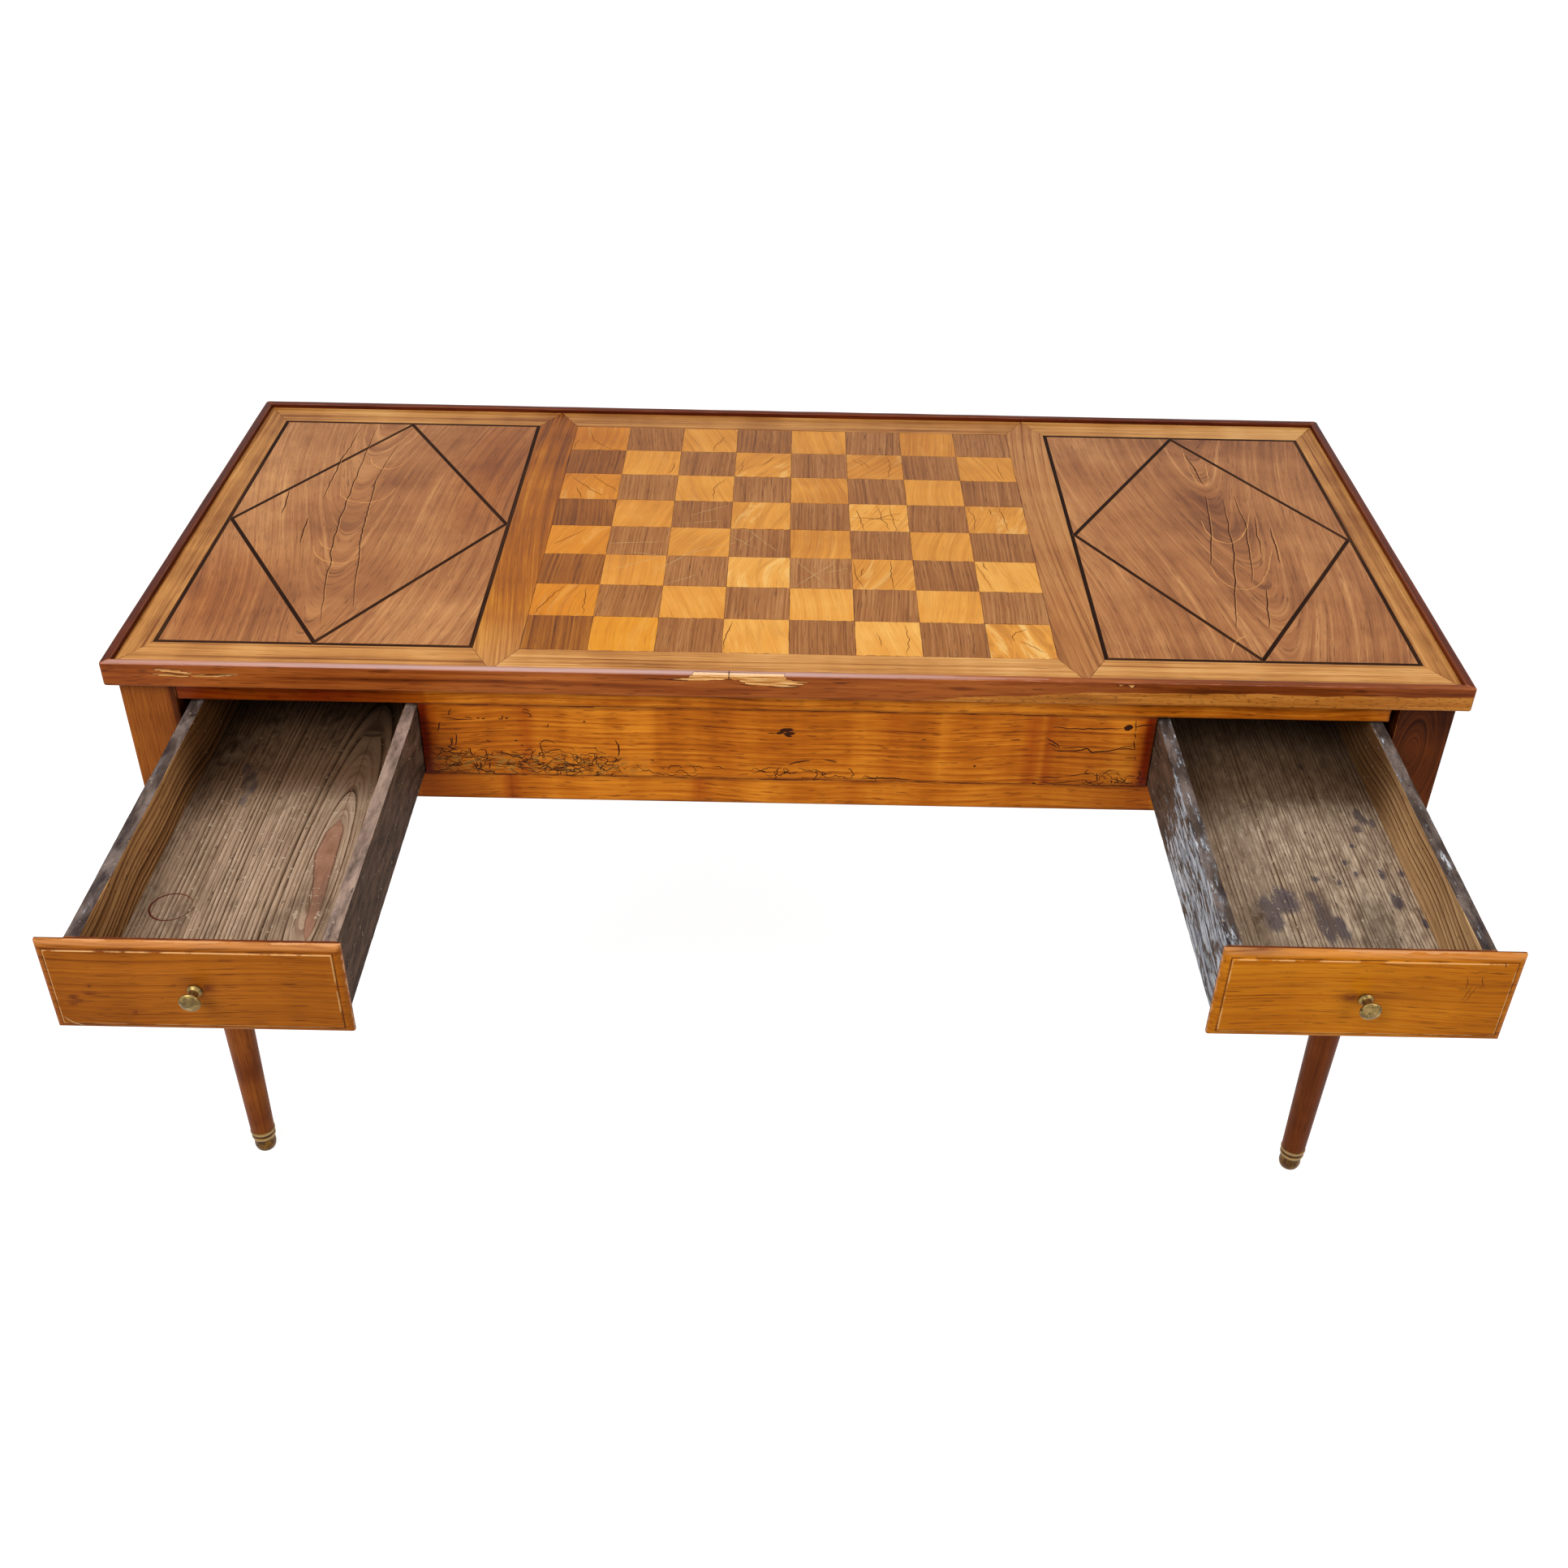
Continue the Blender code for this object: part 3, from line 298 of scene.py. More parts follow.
# Node trees
class Draft:
    """Draws a node tree: each method adds nodes and gives back the last one's output."""

    def __init__(self, tree):
        self.tree = tree

    def add(self, kind, output=0, inputs=(), **settings):
        """One node with its settings and inputs."""
        node = self.tree.nodes.new(kind)
        for key, value in settings.items():
            setattr(node, key, value)
        for key, value in dict(inputs).items():
            self.feed(node.inputs[key], value)
        return node.outputs[output]

    def feed(self, socket, value):
        """Links an output to a socket, or sets its number."""
        if isinstance(value, bpy.types.NodeSocket):
            self.tree.links.new(value, socket)
        else:
            socket.default_value = value

    def attribute(self, name, output):
        return self.add("ShaderNodeAttribute", output, attribute_name=name)

    def do(self, operation, first, second=0.0, third=0.0):
        return self.add("ShaderNodeMath", 0, {0: first, 1: second, 2: third}, operation=operation)

    def plus(self, first, second):
        return self.do("ADD", first, second)

    def minus(self, first, second):
        return self.do("SUBTRACT", first, second)

    def times(self, first, second):
        return self.do("MULTIPLY", first, second)

    def times_plus(self, value, factor, offset):
        return self.do("MULTIPLY_ADD", value, factor, offset)

    def shift(self, vector, offset):
        return self.add("ShaderNodeVectorMath", 0, {0: vector, 1: offset}, operation="ADD")

    def split(self, vector, which):
        return self.add("ShaderNodeSeparateXYZ", which, {0: vector})

    def join(self, x, y, z):
        return self.add("ShaderNodeCombineXYZ", 0, {0: x, 1: y, 2: z})

    def noise(self, vector, factors, detail, roughness=0.5, distortion=0.0):
        """Noise that changes factors times a metre along each number of the vector."""
        scaled = self.add("ShaderNodeVectorMath", 0, {0: vector, 1: factors}, operation="MULTIPLY")
        inputs = {"Vector": scaled, "Scale": 1.0, "Detail": detail, "Roughness": roughness,
                  "Distortion": distortion}
        return self.add("ShaderNodeTexNoise", "Fac", inputs)

    def step(self, value, low, high):
        """Nothing at low, one at high, and a smooth S between them."""
        inputs = {0: value, 1: low, 2: high, 3: 0.0, 4: 1.0}
        return self.add("ShaderNodeMapRange", 0, inputs, interpolation_type="SMOOTHSTEP")

    def strip(self, value, start, full, fades, end):
        """Nothing at start, one from full to fades, and nothing again at end."""
        return self.times(self.step(value, start, full), self.step(value, end, fades))

    def tint(self, share, first, second, blend="MIX"):
        """Two colours mixed; each is an output, or three numbers as seen on a screen."""
        node = self.tree.nodes.new("ShaderNodeMix")
        node.data_type = "RGBA"
        node.blend_type = blend
        self.feed(node.inputs[0], share)
        for place, value in ((6, first), (7, second)):
            self.feed(node.inputs[place], seen(*value) if isinstance(value, tuple) else value)
        return node.outputs[2]

    def ramp(self, share, stops):
        """Colours along a share: each stop is a place and three numbers as seen on a screen."""
        node = self.tree.nodes.new("ShaderNodeValToRGB")
        self.feed(node.inputs[0], share)
        marks = node.color_ramp.elements
        while len(marks) < len(stops):
            marks.new(0.5)
        for mark, (place, colour) in zip(marks, stops):
            mark.position = place
            mark.color = seen(*colour)
        return node.outputs[0]

    def group(self, tree, output=None, **inputs):
        """A shader group with its inputs fed: all its outputs, or one."""
        node = self.tree.nodes.new("ShaderNodeGroup")
        node.node_tree = tree
        for key, value in inputs.items():
            self.feed(node.inputs[key], value)
        return node.outputs if output is None else node.outputs[output]


def new_group(name, inputs, outputs):
    """An empty shader group whose outputs are numbers: its draft, its inputs and its outputs."""
    tree = bpy.data.node_groups.new(name, "ShaderNodeTree")
    for key in inputs:
        kind = "NodeSocketVector" if key == "Grain" else "NodeSocketFloat"
        tree.interface.new_socket(key, in_out="INPUT", socket_type=kind)
    for key in outputs:
        tree.interface.new_socket(key, in_out="OUTPUT", socket_type="NodeSocketFloat")
    given = tree.nodes.new("NodeGroupInput")
    result = tree.nodes.new("NodeGroupOutput")
    return Draft(tree), given.outputs, result.inputs


def timber_group():
    """Growth rings, streaks, fibres, pores, cross figure, clouds and fine lines of a board. Rings are
    a saw wave of the place across, rising by its cube, each year as dark as chance has it."""
    draft, given, result = new_group("timber", ("Grain", "Ring", "Wave"),
                                     ("Rings", "Streaks", "Fibres", "Pores", "Curl", "Cloud", "Lines"))
    grain = given["Grain"]
    along, across, deep = (draft.split(grain, which) for which in range(3))
    slow = draft.noise(grain, (1.6, 9, 9), 2)
    across = draft.plus(across, draft.times(draft.minus(slow, 0.5), given["Wave"]))
    grown = draft.join(along, across, deep)
    count = draft.do("DIVIDE", draft.times_plus(deep, 0.35, across), given["Ring"])
    count = draft.times_plus(draft.noise(grown, (0.5, 34, 12), 2), 3.0, count)
    saw = draft.do("FRACT", count)
    late = draft.times(draft.do("POWER", saw, 3.0), draft.step(saw, 1.0, 0.93))
    year = draft.add("ShaderNodeTexWhiteNoise", "Value", {"W": draft.do("FLOOR", count)},
                     noise_dimensions="1D")
    lines = draft.noise(draft.shift(grown, (2, 5, 3)), (1.9, 230, 90), 2)
    found = {
        "Rings": draft.times(late, draft.times_plus(year, 1.1, 0.35)),
        "Lines": draft.step(lines, 0.55, 0.72),
        "Streaks": draft.noise(grown, (1.1, 85, 30), 4, 0.6),
        "Fibres": draft.noise(grown, (11, 620, 260), 3, 0.6),
        "Pores": draft.step(draft.noise(grown, (38, 900, 420), 1), 0.6, 0.72),
        "Curl": draft.noise(grown, (19, 2.6, 2.6), 2),
        "Cloud": draft.noise(grown, (4, 7, 7), 3),
    }
    for key, value in found.items():
        draft.feed(result[key], value)
    return draft.tree


def wear_group():
    """How far the finish has gone near a board's edge: ragged along the grain."""
    draft, given, result = new_group("edge_wear", ("Grain", "Edge", "Width"), ("Worn",))
    ragged = draft.noise(given["Grain"], (26, 130, 130), 4, 0.6)
    reach = draft.times(draft.step(ragged, 0.4, 0.7), given["Width"])
    short = draft.minus(reach, given["Edge"])
    draft.feed(result["Worn"], draft.step(draft.do("DIVIDE", short, given["Width"]), 0.0, 0.22))
    return draft.tree


def grime_group():
    """Dirt in clouds, small pale specks and small dark pits."""
    draft, given, result = new_group("grime", ("Grain",), ("Dirt", "Specks", "Pits"))
    grain = given["Grain"]
    draft.feed(result["Dirt"], draft.step(draft.noise(grain, (9, 22, 22), 6, 0.65), 0.48, 0.72))
    draft.feed(result["Specks"], draft.step(draft.noise(grain, (240, 260, 260), 2), 0.69, 0.74))
    pits = draft.noise(draft.shift(grain, (3, 1, 2)), (90, 190, 190), 3)
    draft.feed(result["Pits"], draft.step(pits, 0.66, 0.72))
    return draft.tree


TIMBER, WEAR, GRIME = timber_group(), wear_group(), grime_group()


# Finishes
def new_material(name):
    """A material with nodes, and its shader."""
    material = bpy.data.materials.new(name)
    material.use_nodes = True
    return material, material.node_tree.nodes["Principled BSDF"]


class Finish(Draft):
    """A material built up coat by coat: it holds the colour, roughness and height so far."""

    def __init__(self, name):
        self.material, self.shader = new_material(name)
        super().__init__(self.material.node_tree)

    def marks(self):
        """The three marks that the piece's points carry."""
        mark = self.attribute("mark", "Vector")
        return [self.split(mark, which) for which in range(3)]

    def read_grain(self):
        self.grain = self.attribute("grain", "Vector")

    def grained(self, factors, *more):
        """Noise over the grain; one factor serves in all directions."""
        factors = factors if isinstance(factors, tuple) else (factors,) * 3
        return self.noise(self.grain, factors, *more)

    def grime(self):
        return self.group(GRIME, Grain=self.grain)

    def coat(self, share, colour, amount=None):
        """Covers the colour so far with another, by share of it, or by amount times share."""
        share = share if amount is None else self.times(share, amount)
        self.colour = self.tint(share, self.colour, colour)

    def glaze(self, share, colour, amount=None):
        """Darkens the colour so far as a see-through stain does: by multiplying."""
        self.coat(share, self.tint(1.0, self.colour, colour, "MULTIPLY"), amount)

    def done(self, depth, specular, coat=0.0):
        """Feeds the shader, with the height's relief over depth metres, and gives the material."""
        sockets = self.shader.inputs
        self.feed(sockets["Base Color"], self.colour)
        self.feed(sockets["Roughness"], self.roughness)
        sockets["Specular IOR Level"].default_value = specular
        sockets["Coat Weight"].default_value = coat
        sockets["Coat Roughness"].default_value = 0.2
        bump = self.add("ShaderNodeBump", 0, {"Strength": 1.0, "Distance": depth, "Height": self.height})
        self.feed(sockets["Normal"], bump)
        return self.material


def wood(name, tones, ring=9, wave=8, weights=(0.2, 0.8, 0.5, 0.3, 0.5, -0.3), pores=0.35, rough=0.42,
         worn=None, wear=0.9, tone_marks=0.0, specular=0.09, coat=0.03, relief=0.12, look=None):
    """A finished board. Its tone is a half plus weighted rings, streaks, fibres, cross figure, clouds
    and fine lines, and a ramp turns that into the dark, middle and light colours in tones. The width
    of rings, waves and edge wear and the relief's depth are in millimetres; look adds its coats."""
    finish = Finish(name)
    finish.read_grain()
    finish.edge = finish.attribute("edge", "Fac")
    parts = finish.group(TIMBER, Grain=finish.grain, Ring=ring * MM, Wave=wave * MM)
    rings, *others, lines = weights
    tone = finish.times_plus(parts["Rings"], -rings, 0.5 + rings * 0.3 - lines * 0.2)
    tone = finish.times_plus(parts["Lines"], lines, tone)
    for key, weight in zip(("Streaks", "Fibres", "Curl", "Cloud"), others):
        tone = finish.times_plus(finish.minus(parts[key], 0.5), weight, tone)
    if tone_marks:
        tone = finish.times_plus(finish.marks()[0], tone_marks, tone)
    finish.colour = finish.ramp(tone, list(zip((0.1, 0.5, 0.9), tones)))
    finish.glaze(parts["Pores"], (120, 90, 70), pores)
    finish.roughness = finish.times_plus(parts["Fibres"], 0.14, rough - 0.07)
    finish.height = finish.times_plus(parts["Pores"], -0.6, parts["Fibres"])
    if worn:
        finish.coat(finish.group(WEAR, "Worn", Grain=finish.grain, Edge=finish.edge, Width=wear * MM), worn)
    if look:
        look(finish, parts)
    return finish.done(relief * MM, specular, coat)


def plain_dark(name, colour, rough=0.7):
    """Plain dull wood or dirt in a split or a line, with a little unevenness."""
    finish = Finish(name)
    finish.read_grain()
    cloud = finish.grained(60, 3)
    deep, pale = (tuple(min(255, v * share) for v in colour) for share in (0.6, 1.5))
    finish.colour, finish.roughness, finish.height = finish.tint(cloud, deep, pale), rough, cloud
    return finish.done(0.1 * MM, 0.1)


def rim_look(finish, parts):
    """Splintered pale wood where the first mark says so and yellow sapwood where the second does. Above
    nothing the third paints a reflection of the sky on the top face; below nothing it darkens the wood, as
    painted shade on the side and back strips."""
    splinter, sapwood, sheen_and_darkening = finish.marks()
    fibres, streaks = parts["Fibres"], parts["Streaks"]
    sap = finish.ramp(finish.times_plus(fibres, 0.8, finish.times(streaks, 0.3)),
                      [(0.2, (104, 54, 14)), (0.5, (178, 108, 38)), (0.8, (214, 146, 66))])
    flecks = finish.step(finish.grained((170, 560, 560), 2), 0.56, 0.66)
    sap = finish.tint(finish.times(flecks, 0.6), sap, (96, 52, 12))
    finish.coat(finish.step(sapwood, 0.45, 0.55), sap)
    # Worn arrises, tinted partly as wear and partly as a painted highlight on the rounded edges
    rubbed = finish.times(finish.step(finish.edge, 1.5 * MM, 0.7 * MM), finish.step(streaks, 0.1, 0.5))
    finish.coat(rubbed, (180, 118, 88), 0.2)
    # Darkening where the third mark is below nothing: painted shade on the side and back strips
    finish.glaze(finish.step(sheen_and_darkening, 0.0, -1.0), (150, 116, 98))
    # Painted reflection of the sky where the third mark is above nothing
    painted_sky_reflection = finish.tint(streaks, (180, 140, 134), (238, 208, 202))
    finish.coat(finish.do("MAXIMUM", sheen_and_darkening, 0.0), painted_sky_reflection)
    reach = finish.plus(splinter, finish.times(fibres, 0.35))
    # Painted shadow round each splinter
    splinter_shadow = finish.times(finish.step(reach, 0.3, 0.5), finish.step(splinter, 0.02, 0.2))
    finish.coat(splinter_shadow, (70, 28, 10), 0.75)
    slashes = finish.grained((24, 500, 800), 3, 0.65)
    split = finish.ramp(slashes, [(0.36, (142, 80, 30)), (0.48, (206, 138, 68)), (0.62, (244, 198, 132))])
    # Painted highlight on the splinters where they meet the painted reflection
    crest = finish.tint(slashes, (214, 160, 112), (255, 222, 184))
    torn = finish.step(reach, 0.6, 0.72)
    finish.coat(torn, finish.tint(finish.step(sheen_and_darkening, 0.1, 0.6), split, crest))
    finish.roughness = finish.times_plus(torn, 0.3, finish.roughness)


def panel_look(finish, parts):
    """Red-brown bands across the panel where the second mark says so, red-black stain where it goes
    above one, opened tracks where the third does, and dirt towards the joints."""
    bands, tracked = finish.marks()[1:]
    ragged = finish.step(finish.plus(parts["Fibres"], parts["Curl"]), 0.7, 1.3)
    band = finish.times(finish.do("MINIMUM", bands, 1.0), finish.times_plus(ragged, 0.4, 0.45))
    finish.glaze(band, (206, 160, 130))
    finish.glaze(finish.step(finish.times_plus(ragged, 0.3, bands), 1.15, 2.15), (164, 102, 92))
    dug = finish.grained((60, 380, 380), 3, 0.6)
    finish.coat(finish.times(tracked, finish.step(dug, 0.48, 0.6)), (150, 106, 44), 0.75)
    finish.coat(finish.times(tracked, finish.step(dug, 0.44, 0.34)), (60, 28, 8), 0.8)
    dirt = finish.step(finish.times_plus(parts["Cloud"], -0.008, finish.edge), 0.0, -0.004)
    finish.coat(dirt, (96, 44, 14), 0.5)


def front_look(finish, parts):
    """The drawer's moulded edge: the first mark is the distance from the front's border. The flat
    field's step shows a rubbed pale line and, outside it, a painted shadow line, both broken. The second
    mark stains, with a painted shadow beside the left knob, and the third bares the wood."""
    inset, stain, bare = finish.marks()
    broken = finish.grained(60, 3)
    pale = finish.strip(inset, 6.9 * MM, 7.3 * MM, 7.8 * MM, 8.3 * MM)
    finish.coat(finish.times(pale, finish.step(broken, 0.38, 0.52)), (226, 172, 108), 0.8)
    # A painted shadow line at the foot of the step
    dark = finish.strip(inset, 5.6 * MM, 6.2 * MM, 6.7 * MM, 7.2 * MM)
    finish.coat(finish.times(dark, finish.step(broken, 0.66, 0.44)), (76, 36, 8), 0.8)
    finish.coat(finish.times(stain, finish.step(broken, 0.2, 0.5)), (92, 34, 12))
    finish.coat(finish.grime()["Pits"], (84, 40, 8), 0.25)
    finish.coat(finish.times(bare, finish.step(parts["Fibres"], 0.2, 0.6)), (206, 142, 84), 0.7)


def bottom_look(finish, parts):
    """A drawer's bottom: a smooth red-brown patch with a dark rim where the first mark says so,
    purple-black blots where the second does, and grey dirt, partly painted shade at the back, where the third
    does; above one it is painted shade that grows to the back."""
    red, blot, dirty = finish.marks()
    ragged = finish.grained((60, 130, 130), 5)
    reach = finish.times_plus(ragged, 0.2, red)
    patch = finish.step(reach, 0.12, 0.2)
    finish.coat(patch, finish.tint(ragged, (118, 76, 56), (182, 134, 108)), 0.9)
    finish.coat(finish.strip(reach, 0.04, 0.14, 0.2, 0.34), (70, 40, 28), 0.6)
    blotted = finish.step(finish.times_plus(ragged, 1.3, blot), 0.75, 1.4)
    finish.coat(blotted, finish.tint(ragged, (32, 28, 36), (88, 80, 92)), 0.82)
    grime = finish.grime()
    finish.coat(grime["Dirt"], (88, 70, 56), 0.6)
    # The veil is dirt, and on the left bottom's back painted shade
    veil = finish.times(finish.do("MINIMUM", dirty, 1.0), finish.step(grime["Dirt"], -0.4, 1.0))
    finish.coat(veil, finish.tint(finish.step(ragged, 0.3, 0.7), (74, 52, 36), (166, 142, 118)), 0.9)
    crumbs = finish.step(finish.grained((150, 170, 170), 3, 0.7), 0.64, 0.7)
    finish.coat(crumbs, (206, 190, 166), 0.55)
    finish.coat(grime["Specks"], (196, 178, 156), 0.7)
    finish.coat(grime["Pits"], (50, 38, 30), 0.6)
    # Painted shade that grows to the back, where the third mark goes above one
    back_shade = finish.times_plus(ragged, 0.3, finish.minus(dirty, 1.15))
    finish.glaze(finish.step(back_shade, 0.0, 1.0), (150, 134, 120))
    finish.height = finish.times_plus(patch, 0.2, finish.height)


def side_look(finish, parts):
    """A drawer's side. Its upper edge, where the first mark is one, is worn grey-purple, or dark
    blue-grey where that is two; below nothing there is painted shade. The second mark is the rough
    brown-black outside, and the third the blue-white paint left in patches."""
    upper, outside, painted = finish.marks()
    ragged = finish.grained((22, 90, 90), 5, 0.65)
    grey = finish.tint(finish.step(ragged, 0.2, 0.7), (54, 46, 46), (172, 146, 132))
    blue_grey = finish.tint(finish.step(ragged, 0.35, 0.75), (38, 36, 42), (126, 114, 110))
    worn_edge = finish.tint(finish.step(upper, 1.3, 1.7), grey, blue_grey)
    finish.coat(finish.step(upper, 0.3, 0.7), worn_edge, 0.92)
    outer = finish.tint(finish.step(ragged, 0.3, 0.72), (30, 21, 17), (100, 77, 63))
    finish.coat(finish.step(outside, 0.3, 0.7), outer, 0.95)
    # Painted shade where the first mark is below nothing
    finish.glaze(finish.step(upper, 0.0, -1.0), (140, 126, 114))
    flakes = finish.noise(finish.shift(finish.grain, (1, 4, 2)), (30, 170, 170), 6, 0.75)
    paint = finish.step(finish.times_plus(painted, 0.34, flakes), 0.655, 0.74)
    finish.coat(paint, finish.tint(finish.step(parts["Fibres"], 0.25, 0.7), (86, 94, 112), (222, 224, 228)))
    grime = finish.grime()
    finish.coat(grime["Pits"], (34, 24, 20), 0.7)
    finish.coat(grime["Specks"], (200, 180, 150), 0.5)
    finish.height = finish.times_plus(paint, 0.8, finish.height)


def square_look(finish, parts):
    """Deeper orange where the second mark is high, as towards the board's left; pale and brown swirls
    where the third mark is high."""
    deep, figure = finish.marks()[1:]
    finish.glaze(deep, (238, 212, 118))
    swirl = finish.grained((10, 55, 55), 4, 0.6, 1.4)
    finish.coat(finish.times(finish.step(swirl, 0.52, 0.66), figure), (246, 206, 128), 0.7)
    finish.coat(finish.times(finish.step(swirl, 0.46, 0.36), figure), (150, 82, 26), 0.45)


def field_look(finish, parts):
    """Warmer and deeper where the second mark says so, and brown smoky clouds over the figure."""
    finish.glaze(finish.marks()[1], (240, 212, 160))
    finish.glaze(finish.step(finish.grained((14, 30, 30), 5, 0.6), 0.42, 0.68), (206, 190, 184), 0.5)
    finish.coat(finish.step(finish.grained((300, 500, 500), 2), 0.68, 0.74), (88, 44, 20), 0.5)


def divider_look(finish, parts):
    """Tan and less golden where the second mark says so."""
    tan = finish.ramp(parts["Fibres"], [(0.3, (150, 96, 50)), (0.7, (206, 148, 92))])
    finish.coat(finish.marks()[1], tan, 0.65)


def string_look(finish, parts):
    """Ebonised line between two hair lines of pale wood; the first mark runs from 0 to 1 across it."""
    off_middle = finish.do("ABSOLUTE", finish.minus(finish.marks()[0], 0.5))
    finish.coat(finish.step(off_middle, 0.42, 0.46), (170, 112, 66), 0.6)


def metal(name, bright, dull, spots, rough=0.34):
    """Old brass: bright where it is rubbed and where the first mark says so, which on the feet is partly a
    painted highlight, dull in clouds, with dark pits, and black dirt where the second mark says so."""
    finish = Finish(name)
    finish.read_grain()
    cloud = finish.grained(110, 5, 0.6)
    finish.colour = finish.tint(finish.step(cloud, 0.36, 0.62), bright, dull)
    finish.coat(finish.step(finish.grained(420, 2), 0.6, 0.68), spots, 0.8)
    rubbed, dirty = finish.marks()[:2]
    # On the feet this is partly rubbed brass and partly a painted highlight
    finish.coat(rubbed, (168, 136, 90))
    finish.coat(dirty, (38, 26, 16))
    finish.feed(finish.shader.inputs["Metallic"], finish.times_plus(finish.step(cloud, 0.4, 0.7), -0.35, 1.0))
    finish.roughness = finish.times_plus(cloud, 0.35, rough - 0.1)
    finish.height = finish.plus(cloud, finish.grained(700, 3))
    return finish.done(0.15 * MM, 0.5)


def felt(name):
    """Green baize: a short nap in all directions, faded in clouds."""
    finish = Finish(name)
    finish.read_grain()
    nap = finish.grained(1500, 3)
    finish.colour, finish.roughness, finish.height = finish.tint(nap, (22, 62, 34), (58, 112, 66)), 0.95, nap
    finish.coat(finish.step(finish.grained(16, 4), 0.5, 0.7), (92, 104, 62), 0.3)
    finish.shader.inputs["Sheen Weight"].default_value = 0.35
    finish.shader.inputs["Sheen Roughness"].default_value = 0.5
    return finish.done(0.3 * MM, 0.1)


def runner_wood():
    """Bare pine of the runners, read from the place itself because the nodes carry no grain."""
    finish = Finish("runner_pine")
    place = finish.add("ShaderNodeTexCoord", "Object")
    finish.grain = finish.join(*[finish.split(place, which) for which in (1, 0, 2)])
    parts = finish.group(TIMBER, Grain=finish.grain, Ring=4 * MM, Wave=6 * MM)
    tone = finish.times_plus(parts["Rings"], -0.5, parts["Streaks"])
    finish.colour = finish.ramp(tone, [(0.0, (70, 48, 32)), (0.6, (134, 104, 76))])
    finish.roughness, finish.height = 0.8, parts["Fibres"]
    return finish.done(0.2 * MM, 0.15)


def pair(kind, left, right, *given, **more):
    """The same wood for the left and the right drawer, each in its own tones."""
    return {place: wood(f"{kind}_{place}", tones, *given, **more)
            for place, tones in (("left", left), ("right", right))}


# Woods of the top: dark, middle and light tone, rings and waves, weights as wood's docstring has them
CHERRY = wood("border_cherry", [(130, 72, 26), (195, 134, 69), (230, 177, 110)], 9, 12,
              (0.16, 0.9, 0.7, 0.45, 0.95, -0.25), tone_marks=0.8, worn=(120, 66, 30), specular=0.08)
GOLDEN_BAND = wood("golden_band", [(94, 41, 2), (165, 91, 12), (214, 144, 42)], 9, 12,
                   (0.12, 0.7, 0.8, 0.3, 0.8, -0.12), tone_marks=0.8, worn=(100, 54, 24), look=divider_look)
PINK_BAND = wood("pink_band", [(108, 58, 22), (166, 104, 52), (202, 144, 84)], 9, 12,
                 (0.2, 0.8, 0.6, 0.3, 0.6, -0.3), worn=(110, 62, 34))
FIELD = wood("field_cherry", [(104, 54, 23), (166, 106, 59), (206, 147, 91)], 13, 9,
             (0.12, 0.62, 0.65, 0.25, 0.75, 0.2), 0.5, tone_marks=1.0, worn=(96, 50, 26), look=field_look)
LIGHT = wood("light_squares", [(174, 101, 28), (225, 154, 62), (246, 192, 104)], 10, 20,
             (0.05, 0.4, 0.4, 0.3, 0.5, -0.08), 0.2, tone_marks=0.5, worn=(150, 92, 40), wear=0.7,
             look=square_look)
DARK = wood("dark_squares", [(98, 52, 19), (153, 96, 48), (193, 138, 86)], 5, 5,
            (0.15, 0.45, 0.9, 0.15, 0.4, -0.2), 0.6, tone_marks=0.5, worn=(100, 58, 28), wear=0.7,
            look=square_look)
STRINGING = wood("stringing", [(16, 5, 1), (36, 16, 6), (88, 54, 30)],
                 weights=(0.1, 0.5, 0.6, 0.2, 0.5, 0.1), rough=0.5, specular=0.02, coat=0, look=string_look)
RIM_WOOD = wood("rim_mahogany", [(70, 25, 4), (138, 66, 20), (182, 102, 43)], 6, 9,
                (0.25, 0.8, 0.9, 0.2, 0.8, -0.25), 0.5, worn=(180, 114, 84), wear=1.0, specular=0.08,
                coat=0.05, look=rim_look)

# Woods of the case and the drawers
CASE = wood("case_cherry", [(106, 42, 2), (184, 97, 15), (230, 142, 38)], 3.2, 9,
            (0.24, 0.2, 0.8, 0.55, 0.6, -0.06), 0.5, tone_marks=1.0, worn=(92, 40, 8), wear=1.2,
            specular=0.06, look=panel_look)
LEG_WOOD = wood("leg_mahogany", [(44, 15, 4), (118, 57, 20), (180, 103, 38)], 12, 10,
                (0.08, 0.2, 0.42, 0.4, 0.7, -0.05), 0.5, tone_marks=0.6, worn=(150, 88, 48), wear=1.2,
                specular=0.04, coat=0.02)
FRONTS = pair("drawer_front", [(94, 39, 2), (147, 77, 7), (185, 106, 24)],
              [(126, 60, 2), (181, 102, 9), (216, 135, 26)], 7, 16, (0.2, 0.4, 0.55, 0.5, 0.6, -0.2), 0.6,
              worn=(206, 146, 96), wear=1.0, specular=0.05, look=front_look)
BOTTOMS = pair("drawer_bottom", [(58, 39, 24), (132, 104, 80), (188, 160, 134)],
               [(90, 68, 48), (180, 156, 128), (222, 202, 176)], 4.6, 7, (0.75, 0.4, 0.8, 0.1, 0.8, -0.12),
               0.5, rough=0.8, specular=0.05, coat=0, relief=0.4, look=bottom_look)
SIDES = pair("drawer_side", [(62, 36, 16), (136, 92, 52), (192, 144, 92)],
             [(86, 58, 32), (163, 122, 80), (208, 168, 120)], 7, 9, (0.8, 0.7, 0.8, 0.1, 0.7, -0.1), 0.4,
             rough=0.7, specular=0.06, coat=0, relief=0.5, look=side_look)
INSIDE = wood("well_wood", [(60, 30, 14), (104, 60, 32), (142, 92, 54)], worn=(70, 40, 22), wear=3)
POINT_LIGHT = wood("light_points", [(150, 100, 50), (200, 150, 88), (224, 182, 120)], 6, 6)
POINT_DARK = wood("dark_points", [(24, 14, 8), (46, 28, 18), (70, 44, 28)], 6, 6)
RUNNER = runner_wood()

